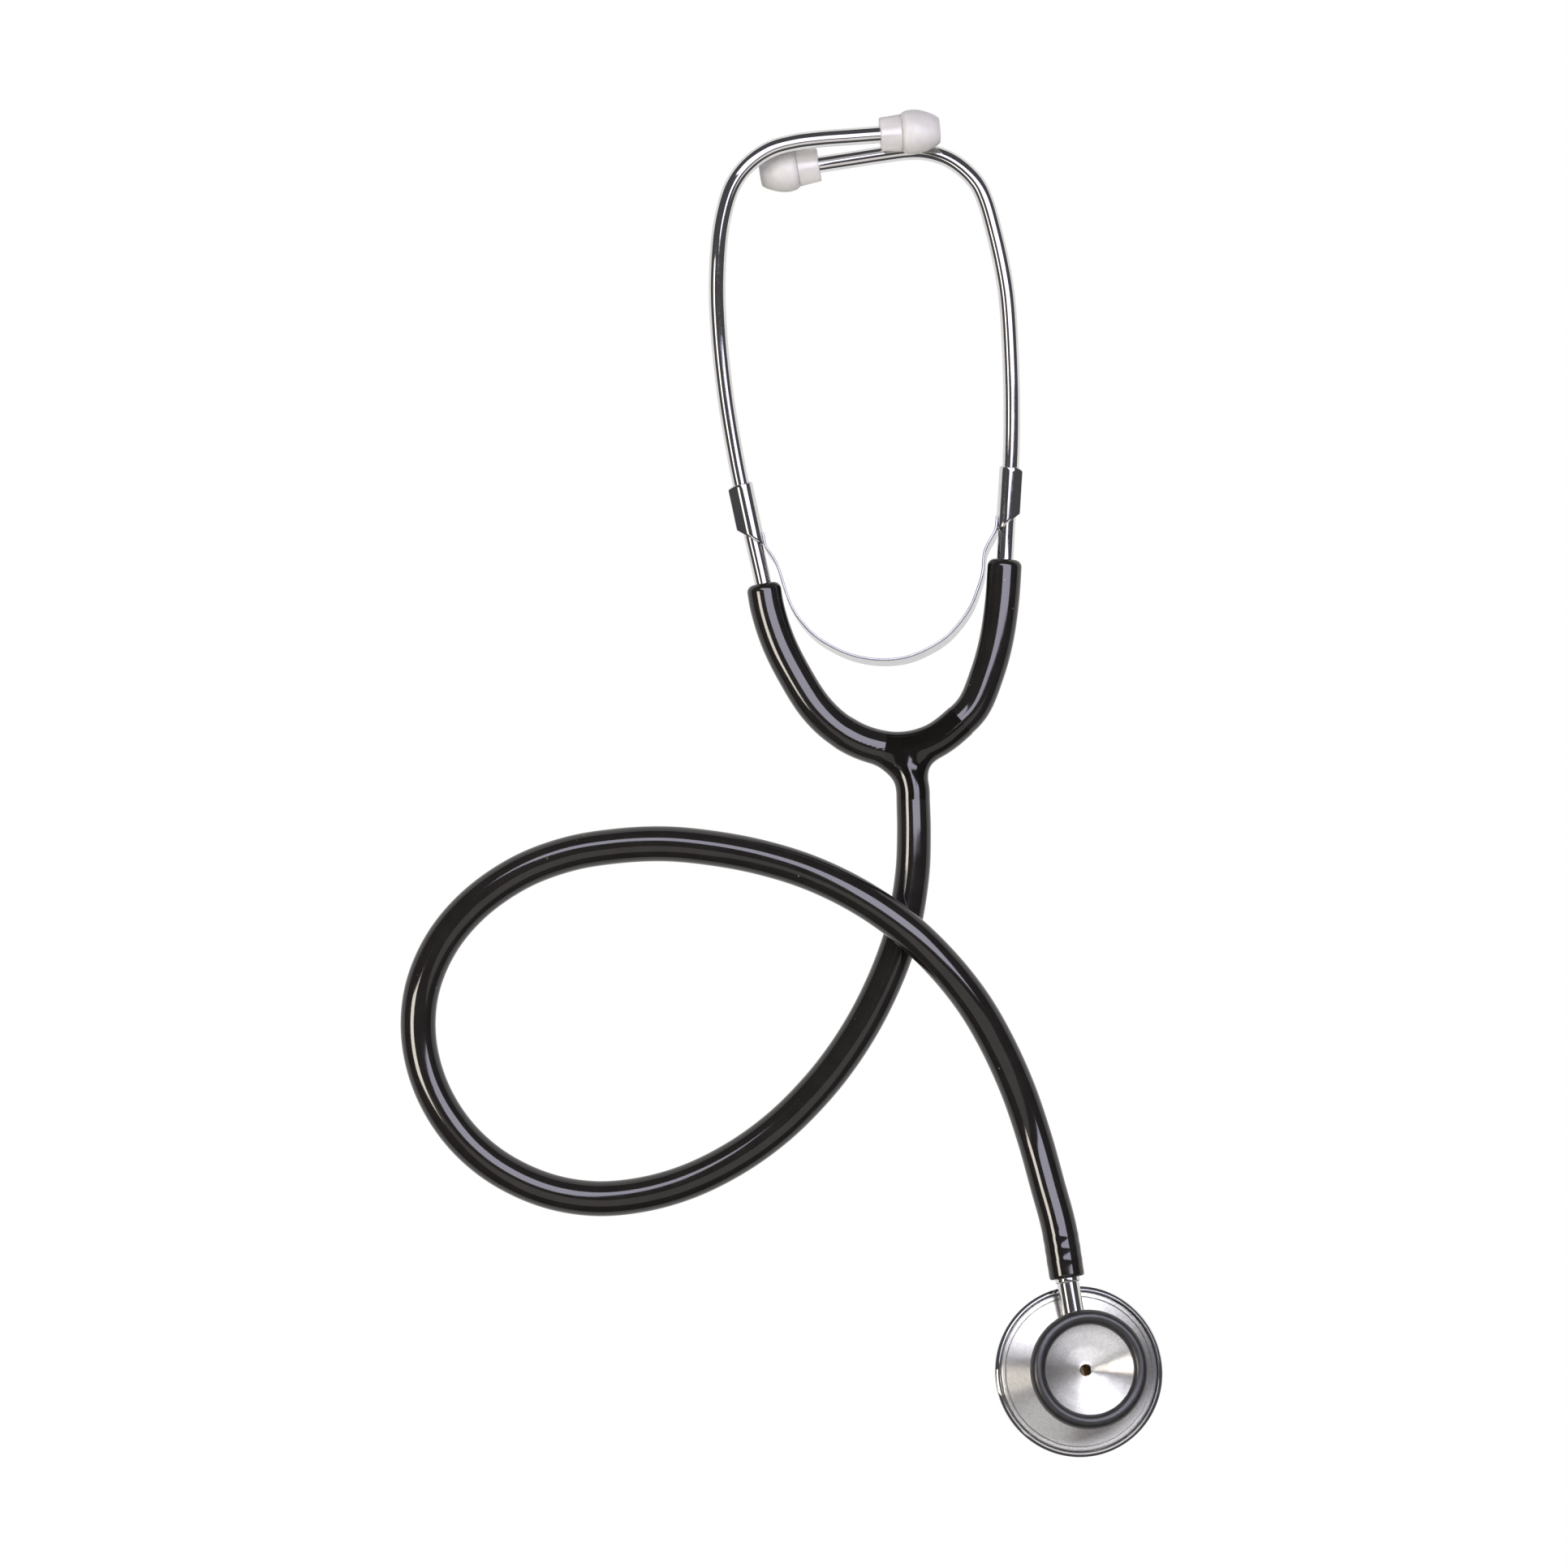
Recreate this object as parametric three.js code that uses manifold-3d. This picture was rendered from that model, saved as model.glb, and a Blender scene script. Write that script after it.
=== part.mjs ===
// Dual-head stethoscope lying on a table, seen from above with its ear tips at +Y.
// Units are millimetres and +Z is up. The origin is on the table, under the middle
// of the headset and chestpiece taken together; the hose loops out to the -X side.

import * as THREE from 'three';
import { mergeVertices } from 'three/addons/utils/BufferGeometryUtils.js';
import Module from 'manifold-3d';

const wasm = await Module();
wasm.setup();

// ---------------------------------------------------------------- driving dimensions

const FIT_GAP = 0.3;

const EAR_TUBE_RADIUS = 2.25;
const EAR_TUBE_BORE = 1.6;
const EAR_TUBE_SEAT = 9.0;          // how far a tube reaches into its ear tip

const TUBING_RADIUS = 4.7;          // hose outside radius
const TUBING_BORE = 2.65;
const ARM_RADIUS = 4.6;             // yoke arms and neck
const NECK_RADIUS = 4.5;
const SOCKET_RADIUS = 2.6;          // holds an ear tube
const YOKE_HEIGHT = 4.65;           // centre line above the table
const CROTCH_FILLET = [7.4, 5.2, 4.3];   // half-sizes of the web between neck and arms
const CROTCH_CENTRE = [-8.4, 5.4];

const TIP_LENGTH = 16;
const COLLAR_RADIUS = 5;
const COLLAR_LENGTH = 5.6;
const BULB_RADIUS = 6;
const TIP_HOLE_RADIUS = 1.25;
const INSERT_NOSE_RADIUS = 3.6;     // the part of the insert that holds the bulb
const INSERT_LENGTH = 10.2;
const INSERT_BORE = 1.5;
const BULB_SOCKET_RADIUS = 3.9;
const BULB_SOCKET_END = 10.6;

const CLASP_LENGTH = 16;
const CLASP_INSIDE = 2.5;
const CLASP_SHEET = 0.45;
const FIN_REACH = 3.7;              // from the tube's axis to the fin's edge
const CLASP_SLOPE = THREE.MathUtils.degToRad(26);

const STRIP_WIDTH = 6;
const STRIP_THICKNESS = 0.8;
const STRIP_BOTTOM = 1.4;
const STRIP_LEAN = [-0.1, 0.24];    // sideways shift for each millimetre upwards

const RING_RADIUS = 22.8;           // diaphragm ring outside
const HEAD_BOTTOM = -9.7;
const BOSS_RADIUS = 7.5;
const CROSS_BORE = 3.3;             // takes the stem
const SOUND_HOLE = 1.65;
const BELL_RING_OPENING = 12.1;

const STEM_RADIUS = 2.95;
const STEM_BORE = 1.5;
const STEM_BORE_END = -1.8;
const SPIGOT_BORE = 1.2;
const SPIGOT_BORE_START = 20;
const STEM_TO_HOSE = 25;            // from the head's axis to the hose's end face
const SPIGOT_LENGTH = 14;
const SPIGOT_RADIUS = 1.8;
const BARB_RADIUS = 2.2;
const BARB_LENGTH = 1.6;
const BARB_STATIONS = [4.5, 7.7, 10.9];   // from the hose's end face
const SHOULDER_RADIUS = 3.15;       // the hose butts against it
const STEM_INNER_END = -4.3;
const SNAP_GROOVE = [-3.75, -2.65];
const SNAP_GROOVE_RADIUS = 2.4;     // in the stem
const SNAP_GROOVE_OUTSIDE = 4.1;    // in the body
const SEAL_GROOVE = [3.9, 5.1];
const SEAL_GROOVE_RADIUS = 2.1;
const SEAL_WIRE = 0.3;
const SNAP_RING_RADII = [2.7, 3.8];
const SNAP_RING_THICKNESS = 0.5;

const HEAD_CENTRE = new THREE.Vector3(38.6, -156.65, 13.95);
const HEAD_TURN = THREE.MathUtils.degToRad(9.3);
const HEAD_ROLL = THREE.MathUtils.degToRad(9.8);
const HEAD_PITCH = THREE.MathUtils.degToRad(5.8);

const BALL_RADIUS = 0.9;
const BALL_STATION = 1.8;           // along the stem from the head's axis
const POCKET_RADIUS = 1.2;          // for the ball and its spring
const POCKET_END = -6.9;
const COIL_RADIUS = 0.6;
const COIL_WIRE_RADIUS = 0.11;
const COIL_TURNS = 3;

// ---------------------------------------------------------------- centre lines

// The yoke's U, from the left socket's mouth round the crotch to the right one's.
const YOKE_LINE = [
  [-46.6, 53.4], [-45.4, 46.6], [-42.6, 37.9], [-38.3, 29.2], [-32.7, 20.5], [-27.1, 15.1],
  [-20.5, 11.4], [-10.3, 9.2], [-1.0, 12.0], [4.9, 16.2], [9.2, 20.5], [13.3, 29.2],
  [15.8, 37.9], [17.4, 48.6], [18.2, 59.9],
];
const NECK_LINE = [[-9.2, 8.6], [-7.3, 2.6], [-6.5, -1.8], [-6.4, -4.5]];

// Each ear tube, from inside its socket to its tip.
const LEFT_TUBE_LINE = [
  [-43.8, 40.8, 4.65], [-45.4, 46.6, 4.65], [-46.6, 53.4, 4.7], [-50.0, 68.4, 5.6],
  [-53.7, 85.8, 7.4], [-56.6, 103.2, 9.6], [-58.4, 120.6, 12.0], [-58.8, 134.5, 14.2],
  [-57.6, 149.5, 16.4], [-54.9, 159.7, 17.6], [-51.0, 165.4, 18.0], [-45.0, 169.7, 17.9],
  [-38.6, 171.7, 17.6], [-31.0, 172.8, 17.3], [-23.3, 173.4, 17.0],
];
const LEFT_TIP_START = new THREE.Vector3(-15.5, 174.0, 16.7);
const LEFT_TIP_END = new THREE.Vector3(0.5, 175.2, 16.1);

const RIGHT_TUBE_LINE = [
  [16.4, 42.5, 4.65], [17.4, 48.6, 4.65], [18.2, 59.9, 4.75], [18.7, 69.4, 5.3],
  [19.7, 85.8, 6.6], [19.9, 98.8, 7.8], [19.6, 111.9, 9.2], [18.5, 129.2, 11.0],
  [17.1, 137.9, 11.8], [15.1, 146.6, 12.4], [12.6, 155.3, 12.7], [10.5, 159.7, 12.6],
  [6.7, 164.0, 12.2], [2.3, 167.1, 11.5], [-3.2, 169.0, 10.4], [-8.0, 169.2, 9.3],
  [-15.0, 168.4, 8.3], [-23.6, 167.2, 7.4],
];
const RIGHT_TIP_START = new THREE.Vector3(-32.0, 165.9, 6.75);
const RIGHT_TIP_END = new THREE.Vector3(-47.9, 163.8, 6.05);

// The leaf spring seen from above, from the left clasp to the right one.
const STRIP_LINE = [
  [-45.3, 62.0], [-42.9, 58.4], [-40.4, 51.0], [-38.7, 46.6], [-35.9, 42.3], [-31.3, 37.9],
  [-22.7, 33.6], [-14.2, 32.3], [-6.6, 33.4], [2.0, 37.9], [6.3, 42.3], [9.2, 46.6],
  [11.0, 51.0], [12.3, 55.3], [13.0, 61.4], [15.2, 65.6],
];

// The hose, from the yoke's neck round its loop and over itself to the stem.
const HOSE_LINE = [
  [-6.4, -4.9, 4.75], [-6.2, -13.0, 4.75], [-6.6, -24.0, 4.75], [-8.9, -38.2, 4.75],
  [-11.6, -46.9, 4.75], [-15.2, -55.6, 4.75], [-19.6, -64.2, 4.75], [-25.1, -72.9, 4.75],
  [-31.9, -81.6, 4.75], [-41.8, -91.6, 4.75], [-53.2, -100.0, 4.75], [-66.2, -106.6, 4.75],
  [-79.2, -110.3, 4.75], [-92.3, -111.3, 4.75], [-105.3, -108.9, 4.75], [-118.4, -102.5, 4.75],
  [-128.4, -93.4, 4.75], [-135.5, -81.6, 4.75], [-138.8, -68.6, 4.75], [-138.0, -55.6, 4.75],
  [-132.9, -43.2, 4.75], [-124.3, -32.8, 4.75], [-111.9, -24.1, 4.9], [-98.8, -19.1, 5.4],
  [-85.8, -16.9, 6.3], [-72.7, -16.3, 7.7], [-59.7, -17.5, 9.4], [-46.6, -20.0, 11.3],
  [-33.6, -24.1, 13.1], [-20.5, -30.5, 14.4], [-8.6, -38.8, 14.8], [1.0, -48.0, 13.9],
  [9.2, -58.2, 11.9], [15.4, -68.6, 9.6], [21.4, -81.6, 7.5], [25.9, -94.7, 6.8],
  [29.5, -107.7, 8.3], [32.33, -118.35, 9.99], [34.58, -132.1, 11.4],
];

// ---------------------------------------------------------------- materials

const chrome = () => new THREE.MeshStandardMaterial({ color: 0xd8dadc, roughness: 0.08, metalness: 1 });
const springSteel = () => new THREE.MeshStandardMaterial({ color: 0xc9cbd2, roughness: 0.2, metalness: 1 });
const blackTubing = () => new THREE.MeshStandardMaterial({ color: 0x0c0b0c, roughness: 0.15, metalness: 0 });
const turnedAlloy = () => new THREE.MeshStandardMaterial({ color: 0xb4b5b8, roughness: 0.35, metalness: 1 });
const blackRubber = () => new THREE.MeshStandardMaterial({ color: 0x1b1b1d, roughness: 0.45, metalness: 0 });
const clearPlastic = () => new THREE.MeshStandardMaterial({ color: 0xe6e6e8, roughness: 0.12, metalness: 0 });
const milkyPlastic = () => new THREE.MeshStandardMaterial({ color: 0xe4e3e1, roughness: 0.4, metalness: 0 });
const membranePlastic = () => new THREE.MeshStandardMaterial({ color: 0xdedfdf, roughness: 0.3, metalness: 0 });

// ---------------------------------------------------------------- helpers

const flat = (points, z) => points.map(([x, y]) => new THREE.Vector3(x, y, z));
const spatial = (points) => points.map(([x, y, z]) => new THREE.Vector3(x, y, z));
const along = (from, to, distance) => from.clone().add(to.clone().sub(from).setLength(distance));

function polygon(radius, sides) {
  const corners = [];
  for (let i = 0; i < sides; i += 1) {
    const angle = (2 * Math.PI * i) / sides;
    corners.push(new THREE.Vector2(radius * Math.cos(angle), radius * Math.sin(angle)));
  }
  return corners;
}

function section(radius, sides, boreRadius = 0, boreSides = 8) {
  const shape = new THREE.Shape(polygon(radius, sides));
  if (boreRadius > 0) shape.holes.push(new THREE.Path(polygon(boreRadius, boreSides)));
  return shape;
}

function sweep(shape, points, steps) {
  const path = new THREE.CatmullRomCurve3(points, false, 'centripetal');
  return new THREE.ExtrudeGeometry(shape, { extrudePath: path, steps, bevelEnabled: false });
}

// A body of revolution about +Y from [radius, height] pairs listed counter-clockwise.
function turned(profile, sides) {
  return new THREE.LatheGeometry(profile.map(([r, h]) => new THREE.Vector2(r, h)), sides);
}

// The same about +Z.
const turnedUpright = (profile, sides) => turned(profile, sides).rotateX(Math.PI / 2);

// A plain rod along +Y between two heights.
const rod = (radius, from, to, sides) => turned([[0, from], [radius, from], [radius, to], [0, to]], sides);

function solid(geometry) {
  const bare = geometry.clone();
  bare.deleteAttribute('normal');
  bare.deleteAttribute('uv');
  const merged = mergeVertices(bare, 1e-4);
  return new wasm.Manifold(new wasm.Mesh({
    numProp: 3,
    vertProperties: merged.attributes.position.array,
    triVerts: new Uint32Array(merged.index.array),
  }));
}

function surface(manifold) {
  const mesh = manifold.getMesh();
  const geometry = new THREE.BufferGeometry();
  geometry.setAttribute('position', new THREE.BufferAttribute(mesh.vertProperties, 3));
  geometry.setIndex(new THREE.BufferAttribute(mesh.triVerts, 1));
  geometry.computeVertexNormals();
  return geometry;
}

function place(parent, name, geometry, material) {
  const mesh = new THREE.Mesh(geometry, material);
  mesh.name = name;
  parent.add(mesh);
  return mesh;
}

const stethoscope = new THREE.Group();

// ---------------------------------------------------------------- ear tubes and their tips

function earTube(line, tipStart, tipEnd) {
  const seat = along(tipStart, tipEnd, EAR_TUBE_SEAT);
  const points = [...spatial(line), tipStart, seat];
  return sweep(section(EAR_TUBE_RADIUS, 10, EAR_TUBE_BORE, 6), points, 52);
}

const INSERT_PROFILE = [
  [EAR_TUBE_RADIUS + FIT_GAP, 0],
  [COLLAR_RADIUS - 0.3, 0],
  [COLLAR_RADIUS, 0.3],
  [COLLAR_RADIUS, COLLAR_LENGTH],
  [INSERT_NOSE_RADIUS, COLLAR_LENGTH],
  [INSERT_NOSE_RADIUS, INSERT_LENGTH],
  [INSERT_BORE, INSERT_LENGTH],
  [INSERT_BORE, EAR_TUBE_SEAT + FIT_GAP],
  [EAR_TUBE_RADIUS + FIT_GAP, EAR_TUBE_SEAT + FIT_GAP],
  [EAR_TUBE_RADIUS + FIT_GAP, 0],
];

const BULB_PROFILE = [
  [BULB_SOCKET_RADIUS, COLLAR_LENGTH + FIT_GAP],
  [COLLAR_RADIUS, COLLAR_LENGTH + FIT_GAP],
  [5.7, 6.9],
  [BULB_RADIUS, 8.6],
  [5.8, 10.4],
  [5.1, 12.6],
  [4.1, 14.6],
  [3.2, 15.8],
  [2.9, TIP_LENGTH],
  [TIP_HOLE_RADIUS, TIP_LENGTH],
  [TIP_HOLE_RADIUS, BULB_SOCKET_END],
  [BULB_SOCKET_RADIUS, BULB_SOCKET_END],
  [BULB_SOCKET_RADIUS, COLLAR_LENGTH + FIT_GAP],
];

function earTip(side, start, end) {
  const tip = new THREE.Group();
  tip.position.copy(start);
  tip.quaternion.setFromUnitVectors(new THREE.Vector3(0, 1, 0), end.clone().sub(start).normalize());
  place(tip, `${side}_eartip_insert`, turned(INSERT_PROFILE, 20), clearPlastic());
  place(tip, `${side}_eartip_bulb`, turned(BULB_PROFILE, 20), milkyPlastic());
  stethoscope.add(tip);
}

place(stethoscope, 'left_ear_tube', earTube(LEFT_TUBE_LINE, LEFT_TIP_START, LEFT_TIP_END), chrome());
place(stethoscope, 'right_ear_tube', earTube(RIGHT_TUBE_LINE, RIGHT_TIP_START, RIGHT_TIP_END), chrome());
earTip('left', LEFT_TIP_START, LEFT_TIP_END);
earTip('right', RIGHT_TIP_START, RIGHT_TIP_END);

// ---------------------------------------------------------------- leaf spring

// Sheet rolled round the tube: x points outboard to the fin, z runs up the tube.
function claspSection() {
  const outside = CLASP_INSIDE + CLASP_SHEET;
  const slit = 0.15;
  const leaf = slit + CLASP_SHEET;
  const outerStart = Math.asin(leaf / outside);
  const innerStart = Math.asin(slit / CLASP_INSIDE);
  const turns = 14;
  const corners = [new THREE.Vector2(FIN_REACH, leaf)];
  for (let i = 0; i <= turns; i += 1) {
    const angle = THREE.MathUtils.lerp(outerStart, 2 * Math.PI - outerStart, i / turns);
    corners.push(new THREE.Vector2(outside * Math.cos(angle), outside * Math.sin(angle)));
  }
  corners.push(new THREE.Vector2(FIN_REACH, -leaf), new THREE.Vector2(FIN_REACH, -slit));
  for (let i = turns; i >= 0; i -= 1) {
    const angle = THREE.MathUtils.lerp(innerStart, 2 * Math.PI - innerStart, i / turns);
    corners.push(new THREE.Vector2(CLASP_INSIDE * Math.cos(angle), CLASP_INSIDE * Math.sin(angle)));
  }
  corners.push(new THREE.Vector2(FIN_REACH, slit));
  return new THREE.Shape(corners);
}

// The sleeve's lower edge slopes down to the inboard side, where the strip leaves it.
function claspGeometry() {
  const sleeve = new THREE.ExtrudeGeometry(claspSection(), { depth: CLASP_LENGTH, bevelEnabled: false });
  const cutter = new THREE.BoxGeometry(20, 12, 10);
  cutter.translate(0, 0, -5);
  cutter.rotateY(-CLASP_SLOPE);
  cutter.translate(-CLASP_INSIDE - CLASP_SHEET, 0, 0);
  return surface(solid(sleeve).subtract(solid(cutter)));
}

function clasp(side, low, high, outboard) {
  const tangent = high.clone().sub(low).normalize();
  const outward = outboard.clone().addScaledVector(tangent, -outboard.dot(tangent)).normalize();
  const across = tangent.clone().cross(outward);
  const frame = new THREE.Group();
  frame.matrixAutoUpdate = false;
  frame.matrix.makeBasis(outward, across, tangent).setPosition(low);
  place(frame, `${side}_spring_clasp`, claspGeometry(), springSteel());
  stethoscope.add(frame);
}

clasp('left', new THREE.Vector3(-49.02, 64.4, 5.35), new THREE.Vector3(-52.4, 80.1, 6.8),
  new THREE.Vector3(-1, 0, 0));
clasp('right', new THREE.Vector3(18.66, 68.6, 5.25), new THREE.Vector3(19.6, 84.6, 6.5),
  new THREE.Vector3(1, 0, 0));

function stripGeometry() {
  const line = new THREE.CatmullRomCurve3(flat(STRIP_LINE, 0), false, 'centripetal');
  const steps = 44;
  const outer = [];
  const inner = [];
  for (let i = 0; i <= steps; i += 1) {
    const point = line.getPointAt(i / steps);
    const tangent = line.getTangentAt(i / steps);
    const side = new THREE.Vector2(tangent.y, -tangent.x).multiplyScalar(STRIP_THICKNESS / 2);
    outer.push(new THREE.Vector2(point.x + side.x, point.y + side.y));
    inner.unshift(new THREE.Vector2(point.x - side.x, point.y - side.y));
  }
  const outline = new THREE.Shape([...outer, ...inner]);
  const strip = new THREE.ExtrudeGeometry(outline, { depth: STRIP_WIDTH, bevelEnabled: false });
  strip.translate(0, 0, -STRIP_WIDTH / 2);
  const [leanX, leanY] = STRIP_LEAN;
  strip.applyMatrix4(new THREE.Matrix4().set(1, 0, leanX, 0, 0, 1, leanY, 0, 0, 0, 1, 0, 0, 0, 0, 1));
  return strip.translate(0, 0, STRIP_BOTTOM + STRIP_WIDTH / 2);
}

place(stethoscope, 'spring_bow', stripGeometry(), springSteel());

// ---------------------------------------------------------------- yoke and hose

function yokeGeometry() {
  const bend = flat(YOKE_LINE, YOKE_HEIGHT);
  const neck = flat(NECK_LINE, YOKE_HEIGHT);
  const past = (from, to) => along(from, to, from.distanceTo(to) + 1);
  const openBend = [past(bend[1], bend[0]), ...bend.slice(1, -1), past(bend.at(-2), bend.at(-1))];
  const openNeck = [...neck.slice(0, -1), past(neck.at(-2), neck.at(-1))];
  const fillet = new THREE.SphereGeometry(1, 16, 10).scale(...CROTCH_FILLET);
  fillet.translate(...CROTCH_CENTRE, YOKE_HEIGHT);
  return surface(
    solid(sweep(section(ARM_RADIUS, 12), bend, 30))
      .add(solid(sweep(section(NECK_RADIUS, 12), neck, 4)))
      .add(solid(fillet))
      .subtract(solid(sweep(section(SOCKET_RADIUS, 10), openBend, 30)))
      .subtract(solid(sweep(section(TUBING_BORE, 10), openNeck, 4))),
  );
}

place(stethoscope, 'y_yoke', yokeGeometry(), blackTubing());
place(stethoscope, 'hose',
  sweep(section(TUBING_RADIUS, 10, TUBING_BORE, 8), spatial(HOSE_LINE), 76), blackTubing());

// ---------------------------------------------------------------- chestpiece
// Inside this group x is across the head, y runs along the stem to the hose
// and z is the head's own axis, from the diaphragm to the bell.

const head = new THREE.Group();
head.position.copy(HEAD_CENTRE);
head.rotation.set(-HEAD_PITCH, HEAD_ROLL, HEAD_TURN, 'ZXY');
stethoscope.add(head);

function stemProfile() {
  const hoseFace = STEM_TO_HOSE;
  const outline = [
    [0, STEM_INNER_END],
    [STEM_RADIUS, STEM_INNER_END],
  ];
  for (const [groove, radius] of [[SNAP_GROOVE, SNAP_GROOVE_RADIUS], [SEAL_GROOVE, SEAL_GROOVE_RADIUS]]) {
    outline.push([STEM_RADIUS, groove[0]], [radius, groove[0]], [radius, groove[1]], [STEM_RADIUS, groove[1]]);
  }
  outline.push([STEM_RADIUS, hoseFace - 1.1], [SHOULDER_RADIUS, hoseFace - 0.9]);
  outline.push([SHOULDER_RADIUS, hoseFace - FIT_GAP], [SPIGOT_RADIUS, hoseFace - FIT_GAP]);
  for (const station of BARB_STATIONS) {
    outline.push([SPIGOT_RADIUS, hoseFace + station], [BARB_RADIUS, hoseFace + station]);
    outline.push([SPIGOT_RADIUS, hoseFace + station + BARB_LENGTH]);
  }
  outline.push([SPIGOT_RADIUS, hoseFace + SPIGOT_LENGTH], [SPIGOT_BORE, hoseFace + SPIGOT_LENGTH]);
  outline.push([SPIGOT_BORE, SPIGOT_BORE_START], [STEM_BORE, SPIGOT_BORE_START]);
  outline.push([STEM_BORE, STEM_BORE_END], [0, STEM_BORE_END]);
  return outline;
}

function stemGeometry() {
  const port = rod(STEM_BORE, 0, 5, 12).rotateX(Math.PI / 2);
  let stem = solid(turned(stemProfile(), 18)).subtract(solid(port));
  for (const side of [-1, 1]) {
    const dimple = new THREE.SphereGeometry(BALL_RADIUS, 12, 8);
    dimple.translate(side * (STEM_RADIUS + BALL_RADIUS - FIT_GAP), BALL_STATION, 0);
    stem = stem.subtract(solid(dimple));
  }
  return surface(stem);
}

place(head, 'stem', stemGeometry(), chrome());

const seal = new THREE.TorusGeometry(SEAL_GROOVE_RADIUS + FIT_GAP + SEAL_WIRE, SEAL_WIRE, 6, 18);
seal.rotateX(Math.PI / 2).translate(0, (SEAL_GROOVE[0] + SEAL_GROOVE[1]) / 2, 0);
place(head, 'stem_o_ring', seal, blackRubber());

function snapRingGeometry() {
  const opening = THREE.MathUtils.degToRad(35);
  const [inside, outside] = SNAP_RING_RADII;
  const outline = new THREE.Shape();
  outline.absarc(0, 0, outside, opening, 2 * Math.PI - opening, false);
  outline.absarc(0, 0, inside, 2 * Math.PI - opening, opening, true);
  outline.closePath();
  const options = { depth: SNAP_RING_THICKNESS, curveSegments: 10, bevelEnabled: false };
  const ring = new THREE.ExtrudeGeometry(outline, options);
  return ring.translate(0, 0, -SNAP_RING_THICKNESS / 2).rotateX(Math.PI / 2);
}

const snapRing = place(head, 'stem_snap_ring', snapRingGeometry(), springSteel());
snapRing.position.y = (SNAP_GROOVE[0] + SNAP_GROOVE[1]) / 2;

const BODY_PROFILE = [
  [0, -6.0], [9, -6.3], [19.2, -7.1], [19.2, -7.4], [21.3, -7.4],
  [21.3, -5.4], [20.9, -4.9], [20.1, -4.8], [19.9, -5.05],
  [15, -4.6], [9.3, -3.9], [7.9, -3.3], [BOSS_RADIUS, -2.5],
  [BOSS_RADIUS, 3.0], [8.3, 3.9], [10.4, 5.5], [12.3, 7.1], [12.8, 8.0], [14.2, 8.0],
  [14.2, 8.9], [12.0, 8.9], [10.2, 7.7], [6.3, 5.7], [2.2, 4.5], [0, 4.4],
];

function bodyGeometry() {
  const crossBore = rod(CROSS_BORE, -4.8, 12, 20);
  const snapGroove = rod(SNAP_GROOVE_OUTSIDE, SNAP_GROOVE[0], SNAP_GROOVE[1], 20);
  const soundHole = rod(SOUND_HOLE, -10, 10, 12).rotateX(Math.PI / 2);
  const pocket = rod(POCKET_RADIUS, 0, -POCKET_END, 12).rotateZ(Math.PI / 2);
  pocket.translate(0, BALL_STATION, 0);
  return surface(
    solid(turnedUpright(BODY_PROFILE, 36))
      .subtract(solid(crossBore))
      .subtract(solid(snapGroove))
      .subtract(solid(soundHole))
      .subtract(solid(pocket)),
  );
}

place(head, 'chestpiece_body', bodyGeometry(), turnedAlloy());

const ballCentre = -(STEM_RADIUS + FIT_GAP + BALL_RADIUS);
const ball = place(head, 'detent_ball', new THREE.SphereGeometry(BALL_RADIUS, 12, 8), chrome());
ball.position.set(ballCentre, BALL_STATION, 0);

function detentSpringGeometry() {
  const pointsPerTurn = 8;
  const steps = COIL_TURNS * pointsPerTurn;
  const start = ballCentre - BALL_RADIUS - 0.3;
  const end = POCKET_END + 0.35;
  const points = [];
  for (let i = 0; i <= steps; i += 1) {
    const angle = (2 * Math.PI * i) / pointsPerTurn;
    const x = THREE.MathUtils.lerp(start, end, i / steps);
    points.push(new THREE.Vector3(x, COIL_RADIUS * Math.cos(angle), COIL_RADIUS * Math.sin(angle)));
  }
  return sweep(section(COIL_WIRE_RADIUS, 6), points, steps);
}

const detentSpring = place(head, 'detent_spring', detentSpringGeometry(), springSteel());
detentSpring.position.y = BALL_STATION;

const GASKET_PROFILE = [[19.4, -8.2], [21.0, -8.2], [21.0, -7.7], [19.4, -7.7], [19.4, -8.2]];
const MEMBRANE_PROFILE = [[0, -8.9], [21.2, -8.9], [21.2, -8.5], [0, -8.5]];
const RETAINING_PROFILE = [
  [20.3, HEAD_BOTTOM], [22.3, HEAD_BOTTOM], [RING_RADIUS, -9.2], [RING_RADIUS, -5.2],
  [22.5, -4.6], [22.0, -4.4], [21.6, -4.6], [21.6, -9.2], [20.3, -9.2], [20.3, HEAD_BOTTOM],
];
const BELL_RING_PROFILE = [
  [13.1, 6.7], [14.0, 6.1], [15.1, 6.3], [15.9, 7.2], [16.15, 8.5], [15.95, 9.7], [15.2, 10.7],
  [14.1, 11.0], [13.0, 10.6], [12.3, 9.9], [BELL_RING_OPENING, 9.2], [14.5, 9.2], [14.5, 7.7],
  [13.1, 7.7], [13.1, 6.7],
];

place(head, 'diaphragm_gasket', turnedUpright(GASKET_PROFILE, 28), blackRubber());
place(head, 'diaphragm_membrane', turnedUpright(MEMBRANE_PROFILE, 36), membranePlastic());
place(head, 'diaphragm_retaining_ring', turnedUpright(RETAINING_PROFILE, 36), chrome());
place(head, 'bell_ring', turnedUpright(BELL_RING_PROFILE, 28), blackRubber());

export default stethoscope;
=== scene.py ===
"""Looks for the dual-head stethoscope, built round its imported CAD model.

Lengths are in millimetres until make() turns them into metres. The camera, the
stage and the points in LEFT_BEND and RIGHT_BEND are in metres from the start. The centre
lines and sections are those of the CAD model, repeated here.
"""

import math

import bmesh
import bpy
import numpy as np
from mathutils import Matrix, Vector


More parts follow.
